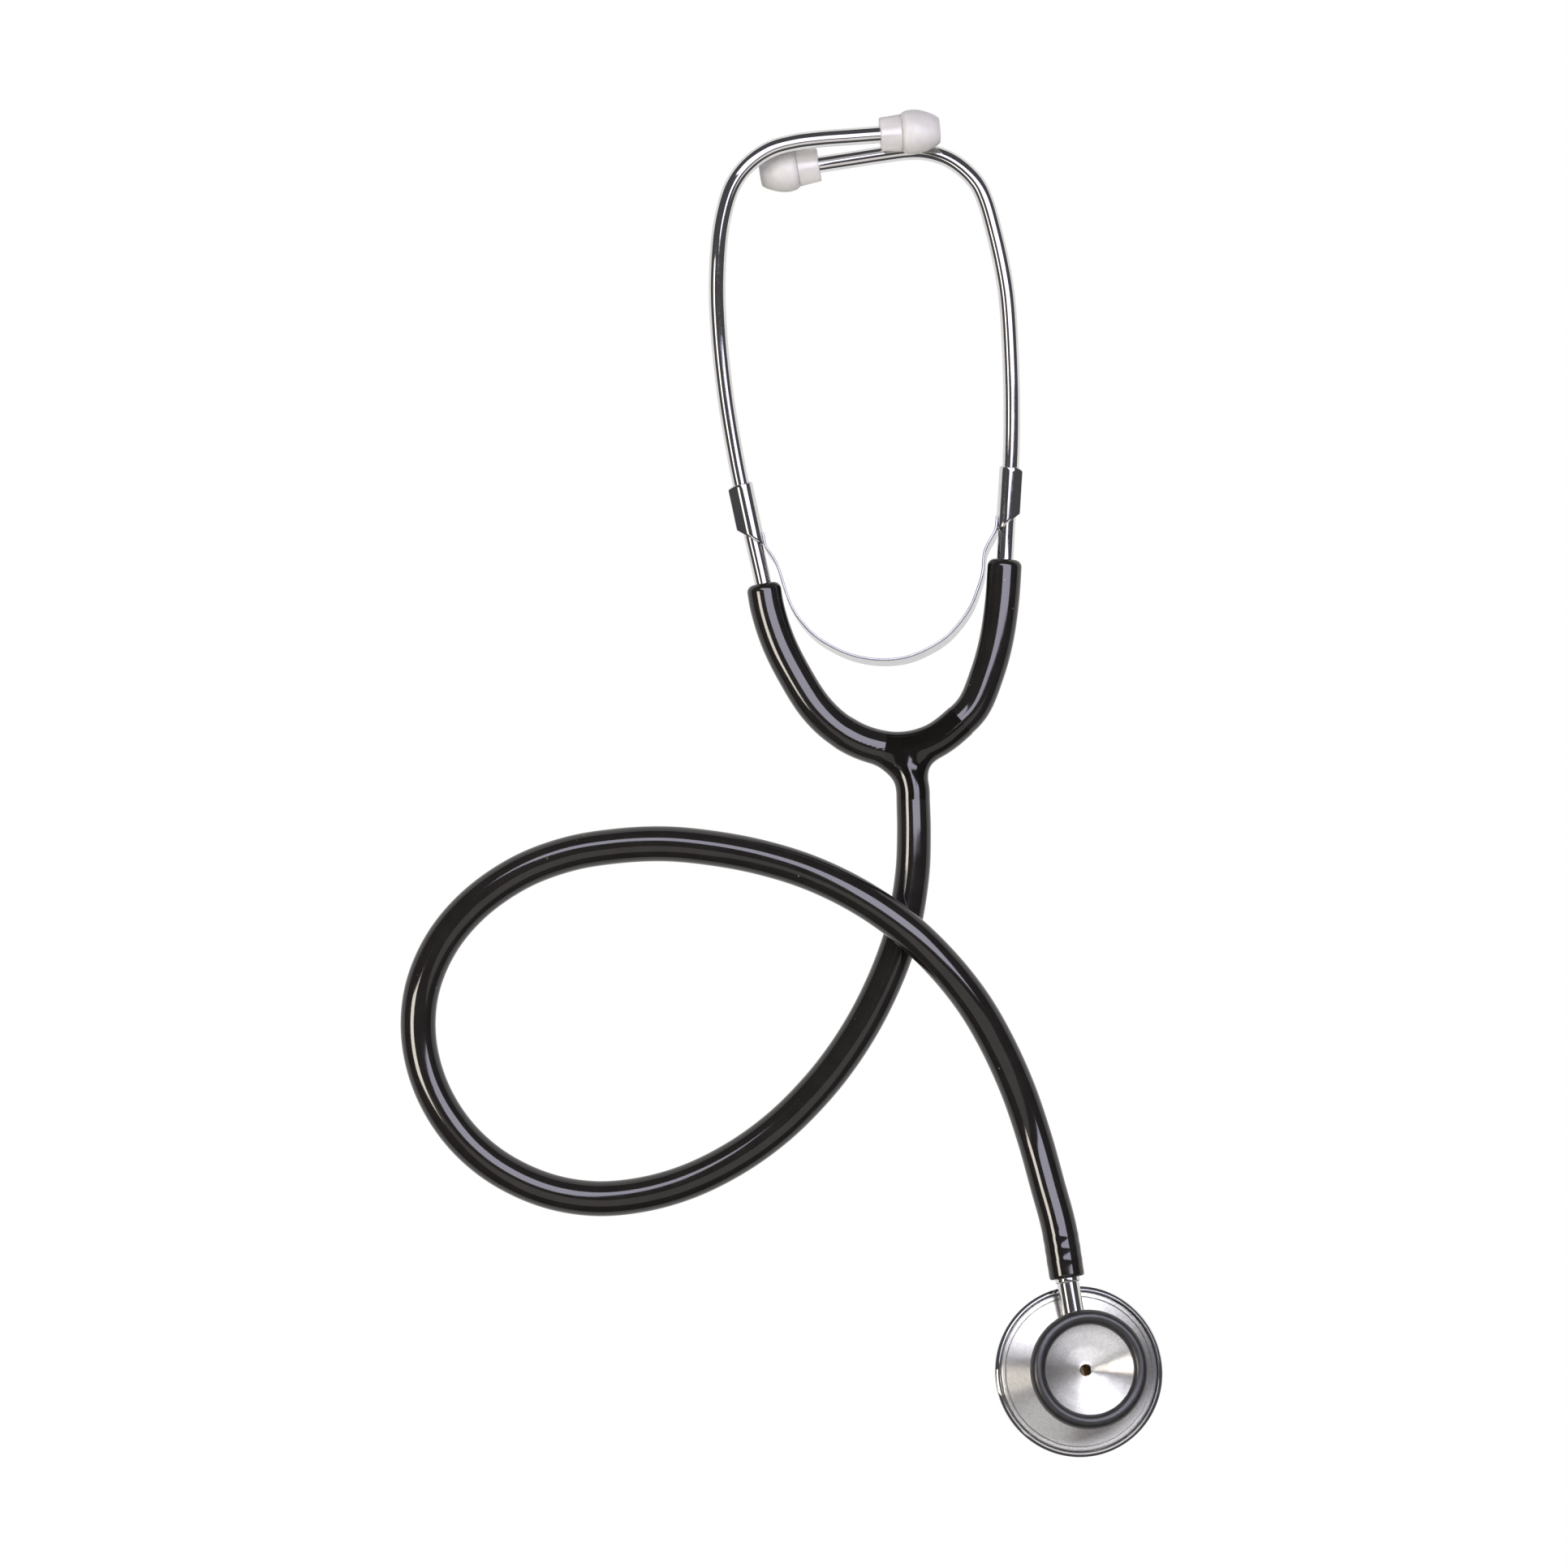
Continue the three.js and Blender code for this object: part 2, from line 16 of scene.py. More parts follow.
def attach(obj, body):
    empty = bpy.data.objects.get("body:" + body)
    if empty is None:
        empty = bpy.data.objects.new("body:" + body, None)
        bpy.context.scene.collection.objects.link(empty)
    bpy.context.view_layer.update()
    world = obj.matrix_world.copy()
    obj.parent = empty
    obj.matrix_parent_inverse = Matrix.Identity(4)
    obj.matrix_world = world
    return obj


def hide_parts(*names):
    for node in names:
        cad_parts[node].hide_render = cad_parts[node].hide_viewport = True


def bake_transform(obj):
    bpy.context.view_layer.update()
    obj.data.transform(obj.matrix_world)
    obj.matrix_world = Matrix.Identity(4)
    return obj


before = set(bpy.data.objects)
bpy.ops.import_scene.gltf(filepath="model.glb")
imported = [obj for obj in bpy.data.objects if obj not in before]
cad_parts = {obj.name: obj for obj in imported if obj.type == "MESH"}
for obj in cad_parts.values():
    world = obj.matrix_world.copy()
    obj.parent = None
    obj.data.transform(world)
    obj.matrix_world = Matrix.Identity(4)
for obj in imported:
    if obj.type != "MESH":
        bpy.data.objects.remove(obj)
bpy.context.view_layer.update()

MM = 0.001
UP = np.array((0.0, 0.0, 1.0))

# ---------------------------------------------------------------- camera

CAMERA_PLACE = (-0.041, -0.0003, 1.8)
CAMERA_LENS = 153.9

camera_data = bpy.data.cameras.new("camera")
camera_data.sensor_width = 36
camera_data.lens = CAMERA_LENS
camera_data.clip_end = 30
camera = bpy.data.objects.new("camera", camera_data)
camera.location = CAMERA_PLACE
bpy.context.scene.collection.objects.link(camera)
bpy.context.scene.camera = camera
bpy.context.scene.view_settings.view_transform = "Standard"

# ---------------------------------------------------------------- sizes

TUBE_RADIUS = 2.25
TUBE_BORE = 1.6
TUBE_SEAT = 9.0          # how far a tube reaches into its ear tip
HOSE_RADIUS = 4.72
HOSE_BORE = 2.65
ARM_RADIUS = 4.6
ARM_BORE = HOSE_BORE - 0.8
NECK_RADIUS = 4.5
SOCKET_DEPTH = 13.0
SOCKET_CLEARANCE = 0.06
MOUTH_ROUND = 2.0
YOKE_HEIGHT = 4.65
CROTCH_BLEND = 5.2       # how widely the neck flows into the arms
STEM_TO_HOSE = 25.0
BARB_STATIONS = (4.5, 7.7, 10.9)

# ---------------------------------------------------------------- centre lines

YOKE_LINE = [
    (-46.6, 53.4), (-45.4, 46.6), (-42.6, 37.9), (-38.3, 29.2), (-32.7, 20.4), (-27.1, 14.9),
    (-20.5, 11.1), (-10.3, 9.1), (-1.5, 11.1), (5.2, 15.7), (9.7, 20.4), (13.4, 29.2),
    (15.8, 37.9), (17.4, 48.6), (18.2, 59.9),
]
NECK_LINE = [(-8.5, 4.9), (-7.2, 1.6), (-6.5, -1.8), (-6.4, -4.5)]
LEFT_TUBE_LINE = [
    (-43.8, 40.8, 4.65), (-45.4, 46.6, 4.65), (-46.6, 53.4, 4.7), (-50.0, 68.4, 5.6),
    (-53.7, 85.8, 7.4), (-56.6, 103.2, 9.6), (-58.4, 120.6, 12.0), (-58.8, 134.5, 14.2),
    (-57.5, 149.3, 16.4), (-54.6, 158.9, 17.6), (-50.6, 164.3, 18.0), (-44.8, 168.4, 17.9),
    (-38.4, 170.3, 17.6), (-31.0, 171.3, 17.3), (-23.3, 171.9, 17.0),
]
LEFT_TIP = ((-15.5, 172.5, 16.7), (0.5, 173.7, 16.1))
RIGHT_TUBE_LINE = [
    (16.4, 42.5, 4.65), (17.4, 48.6, 4.65), (18.2, 59.9, 4.75), (18.7, 69.4, 5.3),
    (19.7, 85.8, 6.6), (19.9, 98.8, 7.8), (19.6, 111.9, 9.2), (18.5, 129.2, 11.0),
    (17.1, 137.9, 11.8), (15.1, 146.6, 12.4), (12.6, 155.3, 12.7), (10.5, 159.7, 12.6),
    (6.7, 163.8, 12.2), (2.3, 166.7, 11.5), (-3.2, 168.4, 10.4), (-8.0, 168.6, 9.3),
    (-15.0, 167.8, 8.3), (-23.4, 166.6, 7.4),
]
RIGHT_TIP = ((-31.6, 165.4, 6.75), (-47.4, 163.0, 6.05))
STRIP_LINE = [
    (-45.3, 62.0), (-42.9, 58.4), (-40.4, 51.0), (-38.7, 46.6), (-35.9, 42.3), (-31.3, 37.9),
    (-22.7, 33.6), (-14.2, 32.3), (-6.6, 33.4), (2.0, 37.9), (6.3, 42.3), (9.2, 46.6),
    (11.0, 51.0), (12.3, 55.3), (13.0, 61.4), (15.2, 65.6),
]
HOSE_LINE = [
    (-6.4, -4.5, 4.65), (-6.2, -13.0, 4.75), (-6.6, -24.0, 4.75), (-8.9, -38.2, 4.75),
    (-11.6, -46.9, 4.75), (-15.2, -55.6, 4.75), (-19.6, -64.2, 4.75), (-25.1, -72.9, 4.75),
    (-31.9, -81.6, 4.75), (-41.8, -91.6, 4.75), (-53.2, -100.0, 4.75), (-66.2, -106.6, 4.75),
    (-79.2, -110.3, 4.75), (-92.3, -111.3, 4.75), (-105.3, -108.9, 4.75), (-118.4, -102.5, 4.75),
    (-128.4, -93.4, 4.75), (-135.5, -81.6, 4.75), (-138.8, -68.6, 4.75), (-138.0, -55.6, 4.75),
    (-132.9, -43.2, 4.75), (-124.3, -32.8, 4.75), (-111.9, -24.1, 4.9), (-98.8, -19.1, 5.4),
    (-85.8, -16.9, 6.3), (-72.7, -16.3, 7.7), (-59.7, -17.5, 9.4), (-46.6, -20.0, 11.3),
    (-33.6, -24.1, 13.1), (-20.5, -30.5, 14.4), (-8.6, -38.8, 14.8), (1.0, -48.0, 13.9),
    (9.2, -58.2, 11.9), (15.4, -68.6, 9.6), (21.4, -81.6, 7.5), (25.9, -94.7, 6.8),
    (29.5, -107.7, 8.3), (32.33, -118.35, 9.99), (34.58, -132.1, 11.4),
]

# ---------------------------------------------------------------- curves and solids


def unit(v):
    return v / np.linalg.norm(v, axis=-1, keepdims=True)


def spline(points, spacing=0.25):
    """A centripetal Catmull-Rom curve through points, resampled at an even spacing."""
    p = np.array(points, float)
    p = np.vstack([2 * p[0] - p[1], p, 2 * p[-1] - p[-2]])
    t = np.linspace(0, 1, 40, endpoint=False)[:, None]
    runs = []
    for a, b, c, d in zip(p, p[1:], p[2:], p[3:]):
        ab, bc, cd = (np.linalg.norm(v) ** 0.5 for v in (b - a, c - b, d - c))
        m = bc * ((b - a) / ab - (c - a) / (ab + bc) + (c - b) / bc)
        n = bc * ((c - b) / bc - (d - b) / (bc + cd) + (d - c) / cd)
        runs.append(b + t * m + t**2 * (3 * (c - b) - 2 * m - n) + t**3 * (2 * (b - c) + m + n))
    fine = np.vstack(runs + [p[-2:-1]])
    s = lengths(fine)
    even = np.linspace(0, s[-1], max(2, round(s[-1] / spacing) + 1))
    return at_station(even, s, fine)


def lengths(line):
    """Distance along a line to each of its points."""
    return np.concatenate([[0], np.cumsum(np.linalg.norm(np.diff(line, axis=0), axis=1))])


def at_station(s, stations, values):
    return np.stack([np.interp(s, stations, column) for column in values.T], -1)


class Path:
    """A centre line with an upright frame at every point."""

    def __init__(self, points):
        self.line = spline(points)
        self.s = lengths(self.line)
        self.length = self.s[-1]
        self.ahead = unit(np.gradient(self.line, axis=0))
        self.side = unit(np.cross(UP, self.ahead))
        self.up = np.cross(self.ahead, self.side)

    def at(self, s):
        fields = self.line, self.side, self.up, self.ahead
        return [at_station(s, self.s, field) for field in fields]

    def nearest(self, point):
        """The station closest to a point, which may be given in plan only."""
        away = self.line[:, : len(point)] - np.array(point)
        return self.s[np.argmin(np.linalg.norm(away, axis=1))]


def ring_faces(count, sides, closed):
    """Quads between count rings of sides points, the last joined to the first if closed."""
    i = np.arange(count if closed else count - 1)[:, None]
    j = np.arange(sides)[None, :]
    k, after = (i + 1) % count, (j + 1) % sides
    quads = np.stack([i * sides + j, i * sides + after, k * sides + after, k * sides + j], -1)
    return quads.reshape(-1, 4)


def divided(outline, step):
    """The closed outline with points added so that none is further than step along x."""
    loop = []
    for (x0, y0), (x1, y1) in zip(outline, outline[1:] + outline[:1]):
        n = max(1, math.ceil(abs(x1 - x0) / step))
        loop += [(x0 + (x1 - x0) * i / n, y0 + (y1 - y0) * i / n) for i in range(n)]
    return loop


def sweep(path, outline, sides=56, step=1.0):
    """A solid of revolution bent along path.

    outline is a closed loop of (distance along the path, radius).
    """
    s, radius = np.array(divided(outline, step)).T
    centre, side, up, _ = path.at(s)
    angle = np.linspace(0, 2 * math.pi, sides, endpoint=False)[None, :, None]
    across = np.cos(angle) * side[:, None] + np.sin(angle) * up[:, None]
    points = centre[:, None] + radius[:, None, None] * across
    return points.reshape(-1, 3), ring_faces(len(s), sides, True)


def revolve(outline, sides=96, knurl=None):
    """A solid about +Z from (radius, height) pairs, closed unless it starts on the axis."""
    radius, height = np.array(outline, float).T
    angle = np.linspace(0, 2 * math.pi, sides, endpoint=False)[None, :]
    reach, rise = (np.repeat(column[:, None], sides, 1) for column in (radius, height))
    if knurl is not None:
        reach = reach - knurl(radius[:, None], height[:, None], angle)
    points = np.stack([reach * np.cos(angle), reach * np.sin(angle), rise], -1)
    return points.reshape(-1, 3), ring_faces(len(outline), sides, radius[0] > 0)


CORNER_ROOM = 0.49        # the share of a side that the arc at its end may take


def rounded(points, radius, steps=4):
    """A closed outline with each corner turned into an arc; a point may carry its own radius."""
    out = []
    for i, (x, y, *own) in enumerate(points):
        p = np.array((x, y), float)
        before = np.array(points[i - 1][:2]) - p
        after = np.array(points[(i + 1) % len(points)][:2]) - p
        size = own[0] if own else radius
        if size == 0:
            out.append((x, y))
            continue
        a, b = before / np.linalg.norm(before), after / np.linalg.norm(after)
        half = math.acos(max(-1.0, min(1.0, float(a @ b)))) / 2
        if half > math.radians(89):
            out.append((x, y))
            continue
        room = CORNER_ROOM * np.linalg.norm(before), CORNER_ROOM * np.linalg.norm(after)
        reach = min(size / math.tan(half), *room)
        for t in np.linspace(0, 1, steps + 1):
            q = (1 - t) ** 2 * (p + a * reach) + 2 * t * (1 - t) * p + t**2 * (p + b * reach)
            out.append((float(q[0]), float(q[1])))
    return out


# ---------------------------------------------------------------- objects


def bake(obj):
    """Turns an object's modifiers into its mesh."""
    bpy.context.view_layer.update()
    shown = obj.evaluated_get(bpy.context.evaluated_depsgraph_get())
    obj.data = bpy.data.meshes.new_from_object(shown)
    obj.modifiers.clear()


def make(name, solid, place=Matrix.Identity(4)):
    """A closed mesh object with outward faces, in metres."""
    points, faces = solid
    mesh = bpy.data.meshes.new(name)
    mesh.from_pydata((np.asarray(points) * MM).tolist(), [], np.asarray(faces).tolist())
    shape = bmesh.new()
    shape.from_mesh(mesh)
    bmesh.ops.remove_doubles(shape, verts=shape.verts, dist=2e-7)
    bmesh.ops.recalc_face_normals(shape, faces=shape.faces)
    shape.to_mesh(mesh)
    shape.free()
    obj = bpy.data.objects.new(name, mesh)
    obj.matrix_world = place
    bpy.context.scene.collection.objects.link(obj)
    return obj


def cut(obj, *cutters):
    """Subtracts the cutters and removes them."""
    for cutter in cutters:
        modifier = obj.modifiers.new("cut", "BOOLEAN")
        modifier.object = cutter
        modifier.solver = "EXACT"
    bake(obj)
    for cutter in cutters:
        bpy.data.objects.remove(cutter)


def smooth(obj, sharp=40):
    """Smooth shading that stays flat on flats and crisp on corners sharper than the limit."""
    obj.data.shade_smooth()
    obj.data.set_sharp_from_angle(angle=math.radians(sharp))
    obj.modifiers.new("weigh", "WEIGHTED_NORMAL").keep_sharp = True
    bake(obj)


def finished(obj, material, nodes, body=None):
    """Gives a piece its material, hides the CAD nodes it stands for and lets it ride."""
    obj.data.materials.clear()
    obj.data.materials.append(material)
    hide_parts(*nodes)
    if body:
        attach(obj, body)
    return obj


# ---------------------------------------------------------------- materials


def node(tree, kind, inputs=None, **settings):
    made = tree.nodes.new("ShaderNode" + kind)
    for key, value in settings.items():
        setattr(made, key, value)
    for key, value in (inputs or {}).items():
        if isinstance(value, bpy.types.NodeSocket):
            tree.links.new(value, made.inputs[key])
        else:
            made.inputs[key].default_value = value
    return made


def ramp(tree, factor, stops):
    """A colour ramp of (position, colour) stops."""
    made = node(tree, "ValToRGB", {"Fac": factor})
    elements = made.color_ramp.elements
    while len(elements) < len(stops):
        elements.new(0.5)
    for element, (position, colour) in zip(elements, stops):
        element.position = position
        element.color = (*colour, 1)
    return made.outputs["Color"]


def surface(name, dark, light, rough, grain=200, bumps=(), specks=None,
            rings=None, weave=None, radial=False, settings=None):
    """A Principled material whose colour, roughness and height vary over the surface.

    rough is a range; bumps are (scale per metre, depth in metres); specks is (colour, scale,
    size) of stray dust; rings is (scale, depth) of turning marks; weave the same of crossed
    threads; radial turns the gloss round the axis; settings go straight to the shader.
    """
    material = bpy.data.materials.new(name)
    material.use_nodes = True
    tree = material.node_tree
    shader = tree.nodes["Principled BSDF"]
    for key, value in (settings or {}).items():
        shader.inputs[key].default_value = value
    place = node(tree, "TexCoord").outputs["Object"]

    def noise(scale, detail=3.0):
        inputs = {"Vector": place, "Scale": scale, "Detail": detail}
        return node(tree, "TexNoise", inputs).outputs["Fac"]

    colour = ramp(tree, noise(grain), [(0.3, dark), (0.7, light)])
    if specks:
        tint, scale, size = specks
        spots = node(tree, "TexVoronoi", {"Vector": place, "Scale": scale}).outputs["Distance"]
        near = ramp(tree, spots, [(size * 0.5, (1, 1, 1)), (size, (0, 0, 0))])
        mixer = node(tree, "Mix", data_type="RGBA")
        tree.links.new(near, mixer.inputs[0])
        tree.links.new(colour, mixer.inputs[6])
        mixer.inputs[7].default_value = (*tint, 1)
        colour = mixer.outputs[2]
    tree.links.new(colour, shader.inputs["Base Color"])
    spread = node(tree, "MapRange", {
        "Value": noise(grain * 1.7), "From Min": 0.3, "From Max": 0.7,
        "To Min": rough[0], "To Max": rough[1],
    })
    tree.links.new(spread.outputs["Result"], shader.inputs["Roughness"])

    heights = [(noise(scale, 2.0), depth) for scale, depth in bumps]
    if rings:
        inputs = {"Vector": place, "Scale": rings[0], "Distortion": 1.5, "Detail": 1.0}
        marks = node(tree, "TexWave", inputs, wave_type="RINGS", rings_direction="Z")
        heights.append((marks.outputs["Fac"], rings[1]))
    if weave:
        for direction in "XY":
            inputs = {"Vector": place, "Scale": weave[0]}
            threads = node(tree, "TexWave", inputs, bands_direction=direction)
            heights.append((threads.outputs["Fac"], weave[1]))
    normal = None
    for height, depth in heights:
        inputs = {"Height": height, "Distance": depth, "Strength": 1.0}
        if normal is not None:
            inputs["Normal"] = normal
        normal = node(tree, "Bump", inputs).outputs["Normal"]
    if normal is not None:
        tree.links.new(normal, shader.inputs["Normal"])
    if radial:
        turning = node(tree, "Tangent", direction_type="RADIAL", axis="Z")
        tree.links.new(turning.outputs["Tangent"], shader.inputs["Tangent"])
    return material


TUBING = surface(
    "glossy_tubing", (0.0082, 0.0072, 0.0064), (0.0118, 0.0105, 0.0094), (0.07, 0.11), grain=160,
    bumps=[(60, 0.00004), (900, 0.0000006)], specks=((0.20, 0.19, 0.17), 210, 0.05),
    settings={"IOR": 1.52},
)
CHROME = surface(
    "chrome", (0.78, 0.77, 0.78), (0.84, 0.83, 0.84), (0.04, 0.08), grain=300,
    bumps=[(250, 0.0000012)], settings={"Metallic": 1.0},
)
RIM_CHROME = surface(
    "rim_chrome", (0.76, 0.755, 0.76), (0.84, 0.835, 0.84), (0.03, 0.06), grain=500,
    bumps=[(300, 0.0000012)], settings={"Metallic": 1.0},
)
STEM_CHROME = surface(
    "stem_chrome", (0.78, 0.77, 0.77), (0.84, 0.83, 0.83), (0.05, 0.08), grain=400,
    bumps=[(250, 0.0000008)], settings={"Metallic": 1.0},
)
BRASS = surface(
    "bare_brass", (0.34, 0.27, 0.17), (0.46, 0.37, 0.25), (0.25, 0.40), grain=900,
    bumps=[(1500, 0.000006)], settings={"Metallic": 1.0},
)
SPRING = surface(
    "spring_sheet", (0.64, 0.64, 0.67), (0.72, 0.72, 0.75), (0.12, 0.20), grain=500,
    bumps=[(700, 0.0000012)], settings={"Metallic": 1.0},
)
CLASP = surface(
    "clasp_sheet", (0.76, 0.755, 0.76), (0.82, 0.815, 0.82), (0.05, 0.10), grain=500,
    bumps=[(300, 0.0000020)], settings={"Metallic": 1.0},
)
# Chrome darkened almost to black: painted shade standing in for the shade inside the knurl's
# grooves, not a colour of the metal.
KNURLED_CHROME_PAINTED_SHADE = surface(
    "knurled_chrome_painted_shade", (0.05, 0.05, 0.053), (0.16, 0.16, 0.17), (0.15, 0.30), grain=1500,
    bumps=[(1600, 0.00004)], settings={"Metallic": 1.0},
)
HARDENED = surface(
    "hardened_steel", (0.45, 0.45, 0.46), (0.58, 0.58, 0.59), (0.12, 0.22), grain=1500,
    bumps=[(3000, 0.000001)], settings={"Metallic": 1.0},
)
ALLOY = surface(
    "turned_alloy", (0.54, 0.53, 0.54), (0.66, 0.65, 0.66), (0.34, 0.40), grain=1400,
    bumps=[(2600, 0.0000020), (900, 0.0000020)], rings=(700, 0.0000015), radial=True,
    settings={"Metallic": 1.0, "Anisotropic": 1.0, "Anisotropic Rotation": 0.25},
)
RUBBER = surface(
    "ring_rubber", (0.011, 0.0105, 0.011), (0.020, 0.019, 0.0195), (0.30, 0.38), grain=700,
    bumps=[(2200, 0.000006)],
)
CLEAR = surface(
    "clear_plastic", (0.68, 0.65, 0.60), (0.76, 0.73, 0.68), (0.12, 0.18), grain=220,
    bumps=[(260, 0.000002)], settings={"Transmission Weight": 0.5, "IOR": 1.45},
)
MILKY = surface(
    "milky_plastic", (0.46, 0.445, 0.405), (0.50, 0.485, 0.445), (0.32, 0.38), grain=250,
    bumps=[(260, 0.000006)],
    settings={
        "Subsurface Weight": 0.6, "Subsurface Scale": 0.003,
        "Subsurface Radius": (1.0, 0.95, 0.9), "IOR": 1.40,
    },
)
MEMBRANE = surface(
    "membrane_sheet", (0.62, 0.61, 0.57), (0.72, 0.71, 0.66), (0.28, 0.36), grain=800,
    bumps=[(1800, 0.000002)], weave=(180, 0.000004),
)

# ---------------------------------------------------------------- hose

hose_path = Path(HOSE_LINE)


NECK_GROWTH = 40, 0.8     # the length over which the neck grows to the hose, and its power
BARB_SWELL = 0.06
BARB_SPREAD = 0.85
BARB_OFFSET = 0.2         # from a barb's station to its highest point
BARBED_LENGTH = 18
BARBED_STEP = 0.35        # between rings over the barbs, and elsewhere
HOSE_STEP = 1.25
HOSE_LIP = 0.8
HOSE_SIDES = 64


def hose_radius(s):
    """The neck's radius at first, then the hose's, swollen over each barb of the stem."""
    length, power = NECK_GROWTH
    grown = NECK_RADIUS + (HOSE_RADIUS - NECK_RADIUS) * min(1.0, s / length) ** power
    swell = 0
    for barb in BARB_STATIONS:
        swell += math.exp(-(((hose_path.length - s - barb - BARB_OFFSET) / BARB_SPREAD) ** 2))
    return grown + BARB_SWELL * swell


end = hose_path.length
barbed_from = end - BARBED_LENGTH
stations = [
    *np.arange(0, barbed_from, HOSE_STEP), *np.arange(barbed_from, end - HOSE_LIP, BARBED_STEP),
]
outside = [(float(s), hose_radius(s)) for s in stations]
mouth = rounded([
    (end - 2, HOSE_RADIUS), (end, HOSE_RADIUS, HOSE_LIP),
    (end, HOSE_BORE, 0.3), (end - 2, HOSE_BORE),
], 0)[1:]
outline = outside + mouth + [(0.0, HOSE_BORE)]
hose = make("hose_tube", sweep(hose_path, outline, sides=HOSE_SIDES, step=HOSE_STEP))
smooth(hose)
finished(hose, TUBING, ["hose"], "tubing")

# ---------------------------------------------------------------- yoke

raised = [(x, y, YOKE_HEIGHT) for x, y in YOKE_LINE]
yoke_path = Path(raised)
neck_path = Path([(x, y, YOKE_HEIGHT) for x, y in NECK_LINE] + [(-6.38, -8.0, YOKE_HEIGHT)])
LEFT_CUT = yoke_path.nearest((-26.0, 14.4))
RIGHT_CUT = yoke_path.nearest((6.0, 17.2))
LEFT_WING = yoke_path.nearest((-14.0, 9.4))     # where the middle of the crotch is cut from its wings
RIGHT_WING = yoke_path.nearest((-2.5, 10.8))
LEFT_BEND = (-0.0159, 0.0116, 0.00465), (-0.0442, 0.043, 0.00465)
RIGHT_BEND = (-0.001, 0.0135, 0.00465), (0.0166, 0.045, 0.00465)
WEB_LINE = spline([
    (-24.0, 12.9), (-19.0, 10.2), (-14.5, 8.7), (-9.3, 8.0), (-3.2, 9.4), (2.5, 12.9), (7.0, 17.2),
])
WEB_NARROWER = 0.7        # how much thinner the web is than an arm
WEB_BLEND = 1.5
WEB_CORE = [(0, -4.2), (5.0, -3.4), (6.6, 0), (5.0, 3.4), (0, 4.2)]
WEB_CORE_PLACE = (-8.4, 5.0, YOKE_HEIGHT)
SKIN_OVERRUN = 6          # how far the rough arms reach past their cuts
SKIN_CORE = 0.5           # the rough solids' bore, which the remesh closes
SKIN_SIDES = 40
SKIN_VOXEL = 0.45
SKIN_SETTLING = 12
COARSE = 3                # every so many points of a line are enough to measure from


def soft_minimum(a, b, width):
    """The smaller of two distances, blended where they are within width, and a's share."""
    h = np.clip(0.5 + 0.5 * (b - a) / width, 0, 1)
    return b + (a - b) * h - width * h * (1 - h), h


def plan_distance(p, line):
    """Distance in plan from each point to a line, and its direction."""
    start, run = line[:-1, :2], np.diff(line[:, :2], axis=0)
    best = np.full(len(p), 1e9)
    away = np.zeros((len(p), 2))
    for a, d in zip(start, run):
        t = np.clip(((p[:, :2] - a) @ d) / (d @ d), 0, 1)
        gap = p[:, :2] - a - t[:, None] * d
        size = np.linalg.norm(gap, axis=1)
        nearer = size < best
        best[nearer], away[nearer] = size[nearer], gap[nearer]
    return best, away / np.maximum(best, 1e-6)[:, None]


def to_crotch(p, rounds=4):
    """Points moved onto the surface where neck and arms flow together, and its normals."""
    arm_line, neck_line, web_line = (
        line[::COARSE] for line in (yoke_path.line, neck_path.line, WEB_LINE)
    )
    for _ in range(rounds):
        da, ga = plan_distance(p, arm_line)
        dw, gw = plan_distance(p, web_line)
        dn, gn = plan_distance(p, neck_line)
        da, share = soft_minimum(da, dw + WEB_NARROWER, WEB_BLEND)
        ga = ga * share[:, None] + gw * (1 - share)[:, None]
        reach, h = soft_minimum(da, dn, CROTCH_BLEND)
        reach = np.maximum(reach, 0)
        plan = ga * h[:, None] + gn * (1 - h)[:, None]
        rise = p[:, 2] - YOKE_HEIGHT
        size = np.maximum(np.hypot(reach, rise), 1e-6)
        slope = np.concatenate([plan * (reach / size)[:, None], (rise / size)[:, None]], 1)
        error = size - (NECK_RADIUS + (ARM_RADIUS - NECK_RADIUS) * h)
        p = p - slope * (error / np.maximum((slope**2).sum(1), 0.2))[:, None]
    return p, unit(slope)


def crotch():
    """Arms, web and neck as one skin, longer than needed at every end."""

    def rough_tube(name, path, low, high, radius):
        outline = [(low, SKIN_CORE), (low, radius), (high, radius), (high, SKIN_CORE)]
        return make(name, sweep(path, outline, sides=SKIN_SIDES))

    low, high = LEFT_CUT - SKIN_OVERRUN, RIGHT_CUT + SKIN_OVERRUN
    web_place = Matrix.Translation(Vector(WEB_CORE_PLACE) * MM)
    rough = [
        rough_tube("rough_bend", yoke_path, low, high, ARM_RADIUS),
        rough_tube("rough_neck", neck_path, 0, neck_path.length, NECK_RADIUS),
        make("rough_web", revolve(WEB_CORE, 32), web_place),
    ]
    body = rough[0]
    for other in rough[1:]:
        join = body.modifiers.new("join", "BOOLEAN")
        join.operation, join.object = "UNION", other
    remesh = body.modifiers.new("remesh", "REMESH")
    remesh.mode, remesh.voxel_size = "VOXEL", SKIN_VOXEL * MM
    settle = body.modifiers.new("settle", "SMOOTH")
    settle.iterations = SKIN_SETTLING
    bake(body)
    for other in rough[1:]:
        bpy.data.objects.remove(other)

    co = np.array([v.co for v in body.data.vertices]) / MM
    moved, _ = to_crotch(co)
    body.data.vertices.foreach_set("co", (moved * MM).ravel())
    return body


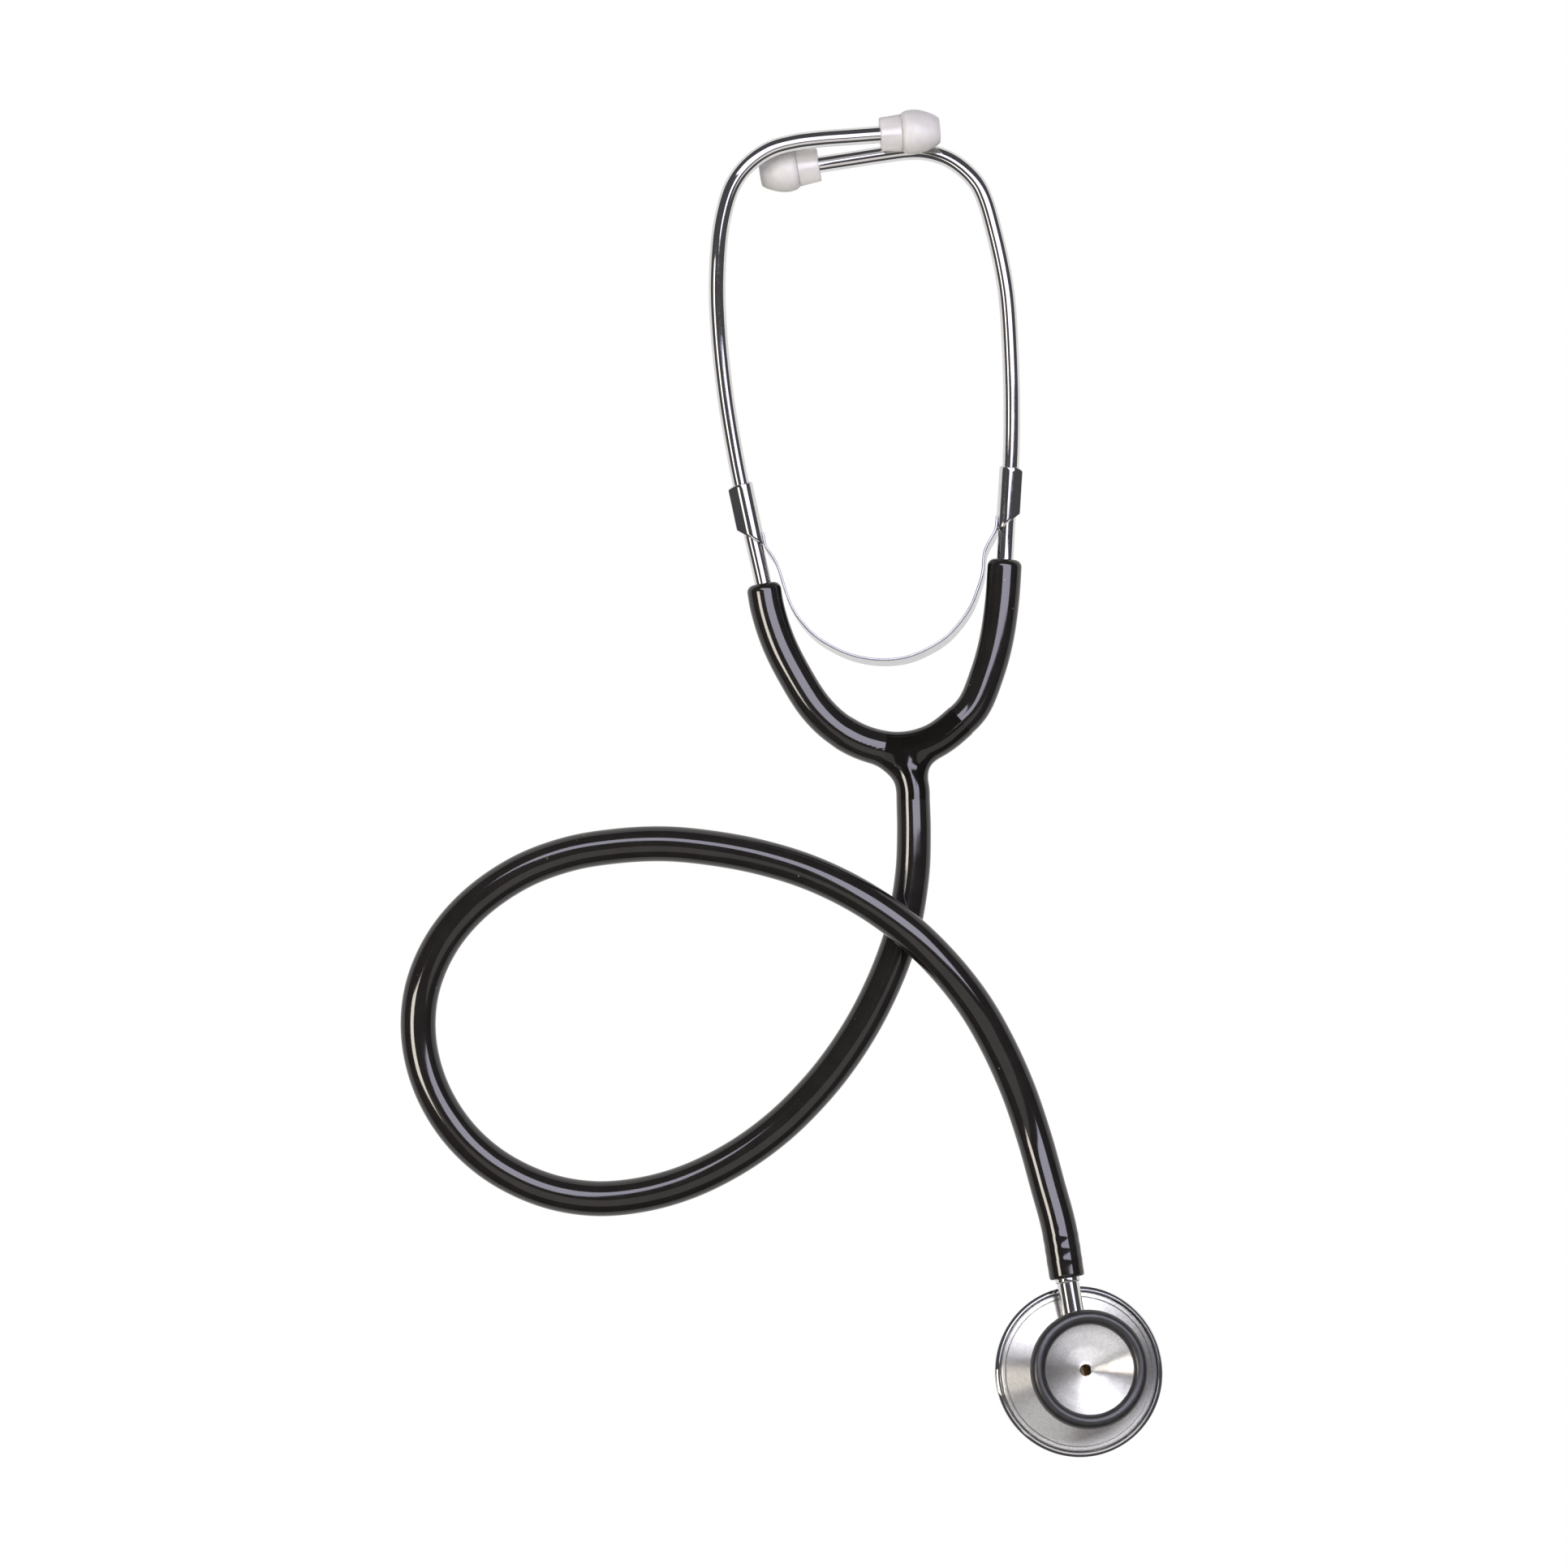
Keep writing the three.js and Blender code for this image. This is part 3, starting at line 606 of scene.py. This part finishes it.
def crotch_part(name, skin, ends):
    """A copy of the skin between square cuts.

    Each end is (place, direction), and what lies beyond it goes.
    """
    shape = bmesh.new()
    shape.from_mesh(skin.data)
    for place, away in ends:
        made = bmesh.ops.bisect_plane(
            shape, geom=shape.verts[:] + shape.edges[:] + shape.faces[:],
            plane_co=Vector(place) * MM, plane_no=Vector(away), clear_outer=True,
        )
        rim = [e for e in made["geom_cut"] if isinstance(e, bmesh.types.BMEdge)]
        bmesh.ops.holes_fill(shape, edges=rim)
    bmesh.ops.recalc_face_normals(shape, faces=shape.faces)
    mesh = bpy.data.meshes.new(name)
    shape.to_mesh(mesh)
    shape.free()
    co = np.array([v.co for v in mesh.vertices]) / MM
    _, normals = to_crotch(co, rounds=1)
    mesh.shade_smooth()
    mesh.normals_split_custom_set_from_vertices(normals.tolist())
    obj = bpy.data.objects.new(name, mesh)
    bpy.context.scene.collection.objects.link(obj)
    return obj


def along_yoke(station, sign):
    """A square cut of the yoke's line, facing the right mouth (1) or the left one (-1)."""
    centre, _, _, ahead = (a[0] for a in yoke_path.at([station]))
    return centre, ahead * sign


skin = crotch()
hose_start = hose_path.line[0], hose_path.ahead[0]
middle = crotch_part("yoke_crotch", skin, [
    along_yoke(LEFT_WING, -1), along_yoke(RIGHT_WING, 1), hose_start,
])
finished(middle, TUBING, ["y_yoke"], "tubing")
left_wing = crotch_part("yoke_left_wing", skin, [
    along_yoke(LEFT_CUT, -1), along_yoke(LEFT_WING, 1),
])
finished(left_wing, TUBING, ["y_yoke"])
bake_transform(left_wing)
right_wing = crotch_part("yoke_right_wing", skin, [
    along_yoke(RIGHT_CUT, 1), along_yoke(RIGHT_WING, -1),
])
finished(right_wing, TUBING, ["y_yoke"])
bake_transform(right_wing)
bpy.data.objects.remove(skin)


def arm(name, headset, square, mouth, start, end):
    """One arm of the yoke with its socket, from the square cut to the mouth."""
    sign = 1 if mouth > square else -1
    bore = TUBE_RADIUS + SOCKET_CLEARANCE
    floor = mouth - sign * SOCKET_DEPTH
    lip = []
    for a in np.linspace(0, math.pi / 2, 9):
        back, down = MOUTH_ROUND * (1 - math.sin(a)), MOUTH_ROUND * (1 - math.cos(a))
        lip.append((mouth - sign * back, ARM_RADIUS - down, 0))
    outline = rounded([
        (square, ARM_RADIUS, 0), *lip, (mouth, bore, 0.15),
        (floor, bore, 0), (floor, ARM_BORE, 0), (square, ARM_BORE, 0),
    ], 0, steps=6)
    obj = make(name, sweep(yoke_path, outline, sides=64))
    smooth(obj)
    finished(obj, TUBING, ["y_yoke"])
    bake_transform(obj)


arm("yoke_left_arm", "left_headset", LEFT_CUT, 0.0, *LEFT_BEND)
arm("yoke_right_arm", "right_headset", RIGHT_CUT, yoke_path.length, *RIGHT_BEND)

# ---------------------------------------------------------------- ear tubes and tips

INSERT_OUTLINE = rounded([
    (2.3, 0, 0.15), (4.45, 0, 0.45), (4.7, 3.0, 6), (5.0, 5.75, 0.25), (3.85, 5.75, 0.1),
    (3.85, 10.5, 0.3), (1.5, 10.5, 0.2), (1.5, 9.1, 0), (2.3, 9.1, 0),
], 0)
BULB_OUTLINE = rounded([
    (3.9, 5.8, 0), (5.05, 5.8, 0.15), (5.75, 6.9, 2.2), (6.0, 8.8, 3), (5.8, 10.6, 3),
    (5.2, 12.6, 4), (4.3, 14.6, 3), (3.35, 15.95, 0.55), (2.6, 16.0, 0.3), (1.3, 16.0, 0.25),
    (1.25, 10.55, 0), (3.9, 10.55, 0),
], 0, steps=6)


def upright_to(start, end):
    """The place of a piece whose +Z runs from start towards end."""
    ahead = (Vector(end) - Vector(start)).normalized()
    turn = Vector((0, 0, 1)).rotation_difference(ahead).to_matrix().to_4x4()
    return Matrix.Translation(Vector(start) * MM) @ turn


def ear_set(side, line, tip):
    """A tube and the two pieces of its tip; tip is where the tip starts and where it points."""
    start, end = (np.array(p) for p in tip)
    seat = start + unit(end - start) * TUBE_SEAT
    path = Path([*line, tuple(start), tuple(seat)])
    wall = rounded([
        (0, TUBE_BORE, 0.1), (0, TUBE_RADIUS, 0.25),
        (path.length, TUBE_RADIUS, 0.25), (path.length, TUBE_BORE, 0.1),
    ], 0)
    tube = make(f"{side}_tube", sweep(path, wall, sides=48, step=0.8))
    smooth(tube)
    finished(tube, CHROME, [f"{side}_ear_tube"], f"{side}_headset")
    place = upright_to(start, end)
    insert = make(f"{side}_insert", revolve(INSERT_OUTLINE, 96), place)
    smooth(insert)
    finished(insert, CLEAR, [f"{side}_eartip_insert"], f"{side}_eartip")
    bulb = make(f"{side}_bulb", revolve(BULB_OUTLINE, 96), place)
    smooth(bulb)
    finished(bulb, MILKY, [f"{side}_eartip_bulb"], f"{side}_eartip")


ear_set("left", LEFT_TUBE_LINE, LEFT_TIP)
ear_set("right", RIGHT_TUBE_LINE, RIGHT_TIP)

# ---------------------------------------------------------------- leaf spring

CLASP_LENGTH = 16.0
CLASP_INSIDE = 2.32
CLASP_SHEET = 0.60
CLASP_FOOT = 1.0          # the lower edge's height at the tube's axis
CLASP_SLOPE = math.tan(math.radians(39))
CLASP_CORNER = 1.5
CLASP_EDGE = 0.14         # the rounding of the sheet's edges
FACET_TILT = 33.0         # degrees between the fin's upper facet and the table


def clasp_section(reach):
    """Sheet folded round the tube and pinched into a fin outboard, as closed loops of (x, y)."""
    outer = CLASP_INSIDE + CLASP_SHEET
    lean = math.radians(90 - FACET_TILT)
    facet = np.array((outer * math.cos(lean), outer * math.sin(lean)))
    edge = facet[1] - (reach - facet[0]) * math.tan(math.radians(FACET_TILT))
    around = np.linspace(lean, 2 * math.pi - lean, 48)
    sleeve = [(outer * math.cos(a), outer * math.sin(a)) for a in around]
    fin = rounded([
        (facet[0], -facet[1], 0), (reach, -edge, 0.45), (reach, edge, 0.45), (*facet, 0),
    ], 0)
    outside = sleeve + fin[1:-1]
    around = np.linspace(2 * math.pi - 0.1, 0.1, len(outside))
    inside = [(CLASP_INSIDE * math.cos(a), CLASP_INSIDE * math.sin(a)) for a in around]
    return outside, inside


def clasp(side, low, high, outboard, reach):
    """The sleeve: its lower edge slopes down to the inboard side, and its fin's top is round."""
    low, high = np.array(low), np.array(high)
    ahead = unit(high - low)
    out = unit(np.array(outboard) - ahead * (np.array(outboard) @ ahead))
    across = np.cross(ahead, out)
    outside, inside = clasp_section(reach)
    inside = inside[::-1]
    edge = CLASP_EDGE
    levels = [(0, edge), (0.35 * edge, 0.3 * edge), (edge, 0)]

    def ring(section, share, inset, wall):
        made = []
        for x, y in section:
            size = math.hypot(x, y)
            scale = (size - wall) / size
            bottom = CLASP_FOOT + CLASP_SLOPE * x
            corner = max(0.0, x - (reach - CLASP_CORNER))
            drop = CLASP_CORNER - math.sqrt(max(0.0, CLASP_CORNER**2 - corner**2))
            top = CLASP_LENGTH - drop
            z = (bottom + inset) + (top - bottom - 2 * inset) * share
            made.append(low + ahead * z + out * x * scale + across * y * scale)
        return made

    shares = np.linspace(0, 1, 17)
    rings = [ring(outside, 0, inset, wall) for inset, wall in levels]
    rings += [ring(outside, share, edge, 0) for share in shares[1:]]
    rings += [ring(outside, 1, inset, wall) for inset, wall in reversed(levels[:-1])]
    rings += [ring(inside, 1, 0, 0)]
    rings += [ring(inside, share, 0, 0) for share in shares[-2::-1]]
    faces = ring_faces(len(rings), len(outside), True)
    obj = make(f"{side}_clasp", (np.array(rings).reshape(-1, 3), faces))
    smooth(obj)
    finished(obj, CLASP, [f"{side}_spring_clasp"], f"{side}_headset")


clasp("left", (-49.02, 64.4, 5.35), (-52.4, 80.1, 6.8), (-1, 0, 0), 3.85)
clasp("right", (18.66, 68.6, 5.25), (19.6, 84.6, 6.5), (1, 0, 0), 3.3)

STRIP_WIDTH = 6.0
STRIP_THICKNESS = 0.7
STRIP_CORNER = 0.22
STRIP_MIDDLE = 4.4
STRIP_LEAN = np.array((-0.1, 0.24, 1.0))
STRIP_ENDING = 7          # over this length it narrows and rises into the clasp
STRIP_NARROWING = 2.0
STRIP_RISE = 0.8
STRIP_RINGS = 110
LEFT_JOIN = [(-46.55, 66.6), (-46.25, 64.6), (-45.75, 62.9)]
RIGHT_JOIN = [(15.75, 67.0), (16.05, 69.0), (16.15, 71.0)]

strip_path = Path([(x, y, 0) for x, y in LEFT_JOIN + STRIP_LINE[1:-1] + RIGHT_JOIN])


def strip_half(name, first, last):
    """Half the bow, from the middle of the U to the clasp it runs into."""
    stations = np.linspace(first, last, STRIP_RINGS)
    centre, side, _, _ = strip_path.at(stations)
    to_end = np.minimum(stations, strip_path.length - stations)
    ending = (1 - np.clip(to_end / STRIP_ENDING, 0, 1)) ** 2
    width = STRIP_WIDTH - STRIP_NARROWING * ending
    middle = STRIP_MIDDLE + STRIP_RISE * ending
    half, corner = STRIP_THICKNESS / 2, STRIP_CORNER
    section = []
    for sx, sy, turn in ((1, -1, -90), (1, 1, 0), (-1, 1, 90), (-1, -1, 180)):
        for a in np.radians(np.linspace(turn, turn + 90, 4)):
            x = sx * (half - corner) + corner * math.cos(a)
            section.append((x, sy, corner * (math.sin(a) - sy)))
    rings = []
    for i in range(len(stations)):
        ring = []
        for x, end_of, shift in section:
            z = end_of * width[i] / 2 + shift
            ring.append(centre[i] + side[i] * x + STRIP_LEAN * z + UP * middle[i])
        rings.append(ring)
    caps = [np.repeat(np.mean(r, 0)[None], len(section), 0) for r in (rings[0], rings[-1])]
    points = np.array([caps[0], *rings, caps[1]])
    faces = ring_faces(len(points), len(section), False)
    obj = make(name, (points.reshape(-1, 3), faces))
    smooth(obj, 50)
    finished(obj, SPRING, ["spring_bow"])
    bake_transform(obj)


SPLIT = strip_path.nearest((-14.2, 32.3))
strip_half("bow_left", SPLIT, 0.0)
strip_half("bow_right", SPLIT, strip_path.length)

# ---------------------------------------------------------------- chestpiece

HEAD_CENTRE = Vector((38.6, -156.65, 13.95)) * MM
HEAD_PLACE = (
    Matrix.Translation(HEAD_CENTRE)
    @ Matrix.Rotation(math.radians(9.3), 4, "Z")
    @ Matrix.Rotation(math.radians(-5.8), 4, "X")
    @ Matrix.Rotation(math.radians(9.8), 4, "Y")
)
ALONG_STEM = Matrix.Rotation(math.radians(-90), 4, "X")     # turns +Z to the head's +Y
ACROSS_STEM = Matrix.Rotation(math.radians(-90), 4, "Y")    # turns +Z to the head's -X
BALL_STATION = 1.8
BALL_RADIUS = 0.9
DIMPLE_REACH = 3.55       # from the stem's axis to the middle of a dimple's ball
SNAP_GROOVE = -3.75, -2.65
O_RING_GROOVE = 3.9, 5.1
STEM_BORE = 1.5


def rod(radius, low, high, place):
    """A cutter along +Z of its place."""
    return make("cutter", revolve([(0, low), (radius, low), (radius, high), (0, high)], 64), place)


BODY_OUTLINE = rounded([
    (0, -6.0), (9, -6.3, 4), (19.2, -7.1, 0.15), (19.2, -7.4, 0.1), (21.3, -7.4, 0.15),
    (21.3, -5.4, 0.2), (20.95, -4.85, 0.3), (20.1, -4.75, 0.35), (19.85, -5.1, 0.12),
    (15, -4.62, 10), (9.3, -3.9, 2.5), (7.9, -3.3, 1), (7.5, -2.5, 0.8),
    (7.5, 3.0, 1), (8.3, 3.9, 1), (10.4, 5.5, 3), (12.3, 7.1, 1), (12.8, 8.0, 0.3), (14.2, 8.0, 0.2),
    (14.2, 8.9, 0.2), (12.0, 8.9, 0.5), (10.2, 7.75, 3), (6.3, 5.75, 6), (2.2, 4.5, 2), (0, 4.4),
], 0)

body = make("chestpiece", revolve(BODY_OUTLINE, 256), HEAD_PLACE)
ball_place = HEAD_PLACE @ Matrix.Translation((0, BALL_STATION * MM, 0)) @ ACROSS_STEM
cut(
    body,
    rod(3.3, -4.8, 12, HEAD_PLACE @ ALONG_STEM),
    rod(4.1, *SNAP_GROOVE, HEAD_PLACE @ ALONG_STEM),
    rod(1.65, -10, 10, HEAD_PLACE),
    rod(1.2, 0, 6.9, ball_place),
)
smooth(body, 32)
finished(body, ALLOY, ["chestpiece_body"], "head")

stem_outline = [(0, -4.3), (2.95, -4.3, 0.3)]
for (low, high), radius in ((SNAP_GROOVE, 2.4), (O_RING_GROOVE, 2.1)):
    stem_outline += [
        (2.95, low, 0.08), (radius, low, 0.08), (radius, high, 0.08), (2.95, high, 0.08),
    ]
stem_outline += [
    (2.95, 23.8, 0.2), (3.3, 24.0, 0.2),
    (3.3, STEM_TO_HOSE - 0.05, 0.1), (1.8, STEM_TO_HOSE - 0.05, 0),
]
for station in BARB_STATIONS:
    y = STEM_TO_HOSE + station
    stem_outline += [(1.8, y, 0), (2.2, y, 0.1), (1.8, y + 1.6, 0.2)]
stem_outline += [
    (1.8, STEM_TO_HOSE + 14, 0.2), (1.2, STEM_TO_HOSE + 14, 0.1), (1.2, 20, 0),
    (STEM_BORE, 20, 0), (STEM_BORE, -1.8, 0), (0, -1.8),
]
stem = make("valve_stem", revolve(rounded(stem_outline, 0), 96), HEAD_PLACE @ ALONG_STEM)
ball = [
    (BALL_RADIUS * math.sin(a), -BALL_RADIUS * math.cos(a)) for a in np.linspace(0, math.pi, 13)
]
ball[0], ball[-1] = (0, -BALL_RADIUS), (0, BALL_RADIUS)
dimples = []
for reach in (-DIMPLE_REACH, DIMPLE_REACH):
    place = HEAD_PLACE @ Matrix.Translation(Vector((reach, BALL_STATION, 0)) * MM)
    dimples.append(make("cutter", revolve(ball, 32), place))
cut(stem, rod(STEM_BORE, 0, 5, HEAD_PLACE), *dimples)
smooth(stem, 32)
finished(stem, STEM_CHROME, ["stem"], "tubing")
stem.data.materials.append(BRASS)                           # bare metal in its bore and port
for face in stem.data.polygons:
    x, y, z = (c / MM for c in face.center)
    in_bore = math.hypot(x, y) < 1.6 and -1.9 < z < STEM_TO_HOSE + 13.9
    in_port = math.hypot(x, z) < 1.53 and y < 0
    if in_bore or in_port:
        face.material_index = 1

KNURLS = 150
KNURL_DEPTH = 0.06
KNURL_INSIDE = 22.05      # only the ring's side lies outside this radius
# The band given the darkened chrome, painted shade of the knurl's grooves, runs from the bottom
# bound up to the last of these heights.
KNURL_BOTTOM, KNURL_TOP, KNURL_SHADE_TOP = -8.6, -6.2, -5.9


def rim_knurl(radius, height, angle):
    """Fine serrations round the outside of the retaining ring."""
    on_side = (radius > KNURL_INSIDE) & (height > KNURL_BOTTOM) & (height < KNURL_TOP)
    return np.where(on_side, KNURL_DEPTH * (0.5 + 0.5 * np.cos(KNURLS * angle)), 0.0)


RETAINING_OUTLINE = rounded([
    (20.3, -9.7, 0.15), (21.7, -9.7, 0.3), (22.12, -9.0, 0.2), (22.15, -8.6, 0), (22.18, -8.5, 0),
    (22.7, -6.3, 0), (22.72, -6.2, 0), (22.8, -5.35, 0.25), (22.76, -4.98, 0.1),
    (22.12, -4.53, 0.12), (21.8, -4.44, 0.3), (21.5, -4.6, 0.1), (21.5, -9.2, 0.1),
    (20.3, -9.2, 0.15),
], 0)
retaining = make("retaining_ring", revolve(RETAINING_OUTLINE, KNURLS * 6, rim_knurl), HEAD_PLACE)
smooth(retaining, 50)
finished(retaining, RIM_CHROME, ["diaphragm_retaining_ring"], "head")
# The knurled band takes chrome painted almost black, as painted shade of its grooves.
retaining.data.materials.append(KNURLED_CHROME_PAINTED_SHADE)
for face in retaining.data.polygons:
    x, y, z = (c / MM for c in face.center)
    if math.hypot(x, y) > KNURL_INSIDE and KNURL_BOTTOM < z < KNURL_SHADE_TOP:
        face.material_index = 1

MEMBRANE_OUTLINE = rounded([
    (0, -8.9), (15.5, -8.9, 0.2), (15.9, -9.02, 0.2), (16.5, -9.02, 0.2), (16.9, -8.9, 0.2),
    (21.2, -8.9, 0.1), (21.2, -8.5, 0.1), (0, -8.5),
], 0)
membrane = make("membrane", revolve(MEMBRANE_OUTLINE, 192), HEAD_PLACE)
smooth(membrane)
finished(membrane, MEMBRANE, ["diaphragm_membrane"], "head")

BELL_OUTLINE = rounded([
    (13.1, 6.7, 0.3), (13.9, 6.1, 2), (14.9, 6.3, 2), (15.65, 7.2, 2), (15.92, 8.5, 2),
    (15.7, 9.8, 2), (14.95, 10.8, 2), (13.85, 11.1, 2), (12.7, 10.75, 2), (12.05, 9.95, 1.2),
    (11.9, 9.05, 0.2), (14.5, 9.05, 0), (14.5, 7.7, 0), (13.1, 7.7, 0),
], 0, steps=6)
bell_rim = make("bell_rim", revolve(BELL_OUTLINE, 192), HEAD_PLACE)
smooth(bell_rim)
finished(bell_rim, RUBBER, ["bell_ring"], "head")

for name, material in {
    "stem_o_ring": RUBBER, "stem_snap_ring": HARDENED, "detent_ball": HARDENED,
    "detent_spring": HARDENED, "diaphragm_gasket": RUBBER,
}.items():
    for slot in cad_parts[name].material_slots:
        slot.material = material

# ---------------------------------------------------------------- floor and light


def emitter(name, strength, colour, open_behind):
    """A glowing material; light from behind may pass through it."""
    material = bpy.data.materials.new(name)
    material.use_nodes = True
    tree = material.node_tree
    tree.nodes.clear()
    glow = node(tree, "Emission", {"Color": (*colour, 1), "Strength": strength})
    shader = glow.outputs["Emission"]
    if open_behind:
        clear = node(tree, "BsdfTransparent")
        shader = node(tree, "AddShader", {0: shader, 1: clear.outputs["BSDF"]}).outputs["Shader"]
    tree.links.new(shader, node(tree, "OutputMaterial").inputs["Surface"])
    return material


def panel(name, corners, strength, colour, hidden=(), lit=None, spared=None):
    """A flat glowing polygon, in metres, unseen by the named kinds of ray.

    With lit it lights those pieces only, and with spared all but those; either way, light from
    behind passes through it. Without them it lights everything and hides what is behind it.
    """
    mesh = bpy.data.meshes.new(name)
    mesh.from_pydata(corners, [], [list(range(len(corners)))])
    mesh.materials.append(emitter(name, strength, colour, open_behind=bool(lit or spared)))
    obj = bpy.data.objects.new(name, mesh)
    bpy.context.scene.collection.objects.link(obj)
    for kind in hidden:
        setattr(obj, "visible_" + kind, False)
    if lit or spared:
        group = bpy.data.collections.new(name + "_pieces")
        for piece in lit or spared:
            group.objects.link(piece)
        for member in group.collection_objects:
            member.light_linking.link_state = "INCLUDE" if lit else "EXCLUDE"
        obj.light_linking.receiver_collection = group


def level(points, height):
    return [(x, y, height) for x, y in points]


def block(west, south, east, north):
    return [(west, south), (east, south), (east, north), (west, north)]


FLOOR = block(-8.0, -8.0, 8.0, 8.0)
BOUNCE = block(-0.6, -0.6, 0.55, 0.6)
KEY = [
    (0.06, -0.02), (0.25, -0.01), (0.66, 0.0), (0.62, 0.45),
    (-0.4, 0.6), (-0.5, 0.42), (-0.12, 0.17), (-0.08, 0.0),
]
KEY_CROTCH = [(0.06, -0.03), (0.66, -0.03), (0.66, 0.1), (0.1, 0.08)]
KEY_TURNED = block(-0.14, 0.05, 0.51, 0.75)
STRIP = [(-0.5, -0.35), (-0.5, 0.04), (-0.92, 0.04), (-0.92, -0.35)]
STRIP_SOFT = [(-0.5, -0.35), (-0.5, 0.0), (-0.92, 0.0), (-0.92, -0.35)]
CARD = [(-0.45, -0.2), (0.7, -0.2), (0.7, -0.9), (-0.45, -0.9)]
CARD_TURNED = [(-0.35, -0.2), (0.25, -0.2), (0.25, -0.55), (-0.35, -0.55)]

FLOOR_HEIGHT, BOUNCE_HEIGHT = -0.0008, -0.04
BACKDROP_BOTTOM, BACKDROP_TOP = -0.1, 4.0
CARD_TURNED_HEIGHT = 0.69       # under the card, which hides what is above it
PANEL_HEIGHT = 0.70
SOFT_HEIGHT = 0.71
KEY_TURNED_HEIGHT = 0.72
KEY_CROTCH_HEIGHT = 0.73

BACKDROP_STRENGTH = 1.0
BOUNCE_STRENGTH = 0.85
KEY_STRENGTH = 6.7
KEY_TURNED_STRENGTH = 7.9
STRIP_STRENGTH = 15.0
SOFT_STRENGTH = 1.7             # on polished metal, which would burn out under the others
CARD_STRENGTH = 0.75
CARD_TURNED_STRENGTH = 1.5

WHITE = (1.0, 1.0, 1.0)
BOUNCE_COLOUR = (1, 0.985, 0.97)
KEY_COLOUR, STRIP_COLOUR = (0.90, 0.89, 1.07), (1.05, 0.98, 0.87)
KEY_TURNED_COLOUR = (0.97, 0.97, 1.01)
CARD_COLOUR = (1.05, 1.0, 0.95)
WORLD_COLOUR = (0.07, 0.068, 0.072, 1)

HIDDEN_BACKDROP = ["glossy", "diffuse"]
HIDDEN_BOUNCE = ["camera", "transmission"]
HIDDEN_LIGHT = ["camera"]
polished = [
    obj for obj in bpy.data.objects if obj.type == "MESH" and obj.data.materials
    and obj.data.materials[0] in (CHROME, RIM_CHROME, STEM_CHROME, SPRING, CLASP)
]
lit_by_key_crotch = [middle, right_wing]

panel("floor", level(FLOOR, FLOOR_HEIGHT), BACKDROP_STRENGTH, WHITE, HIDDEN_BACKDROP)
for index in range(4):
    foot = FLOOR[index - 1], FLOOR[index]
    wall = level(foot, BACKDROP_BOTTOM) + level(foot[::-1], BACKDROP_TOP)
    panel(f"backdrop_{index}", wall, BACKDROP_STRENGTH, WHITE, HIDDEN_BACKDROP)
panel("floor_bounce", level(BOUNCE, BOUNCE_HEIGHT), BOUNCE_STRENGTH, BOUNCE_COLOUR,
      HIDDEN_BOUNCE)
panel("key", level(KEY, PANEL_HEIGHT), KEY_STRENGTH, KEY_COLOUR, HIDDEN_LIGHT,
      spared=[*polished, body, *lit_by_key_crotch])
panel("key_crotch", level(KEY_CROTCH, KEY_CROTCH_HEIGHT), KEY_STRENGTH, KEY_COLOUR, HIDDEN_LIGHT,
      lit=lit_by_key_crotch)
panel("key_turned", level(KEY_TURNED, KEY_TURNED_HEIGHT), KEY_TURNED_STRENGTH,
      KEY_TURNED_COLOUR, HIDDEN_LIGHT, lit=[body])
panel("key_soft", level(KEY, SOFT_HEIGHT), SOFT_STRENGTH, KEY_COLOUR, HIDDEN_LIGHT,
      lit=polished)
panel("strip", level(STRIP, PANEL_HEIGHT), STRIP_STRENGTH, STRIP_COLOUR, HIDDEN_LIGHT,
      spared=polished)
panel("strip_soft", level(STRIP_SOFT, SOFT_HEIGHT), SOFT_STRENGTH, STRIP_COLOUR, HIDDEN_LIGHT,
      lit=polished)
panel("card", level(CARD, PANEL_HEIGHT), CARD_STRENGTH, CARD_COLOUR, HIDDEN_LIGHT)
panel("card_turned", level(CARD_TURNED, CARD_TURNED_HEIGHT), CARD_TURNED_STRENGTH, WHITE,
      HIDDEN_LIGHT, lit=[body])

world = bpy.data.worlds.new("studio")
bpy.context.scene.world = world
world.use_nodes = True
world.node_tree.nodes["Background"].inputs["Color"].default_value = WORLD_COLOUR
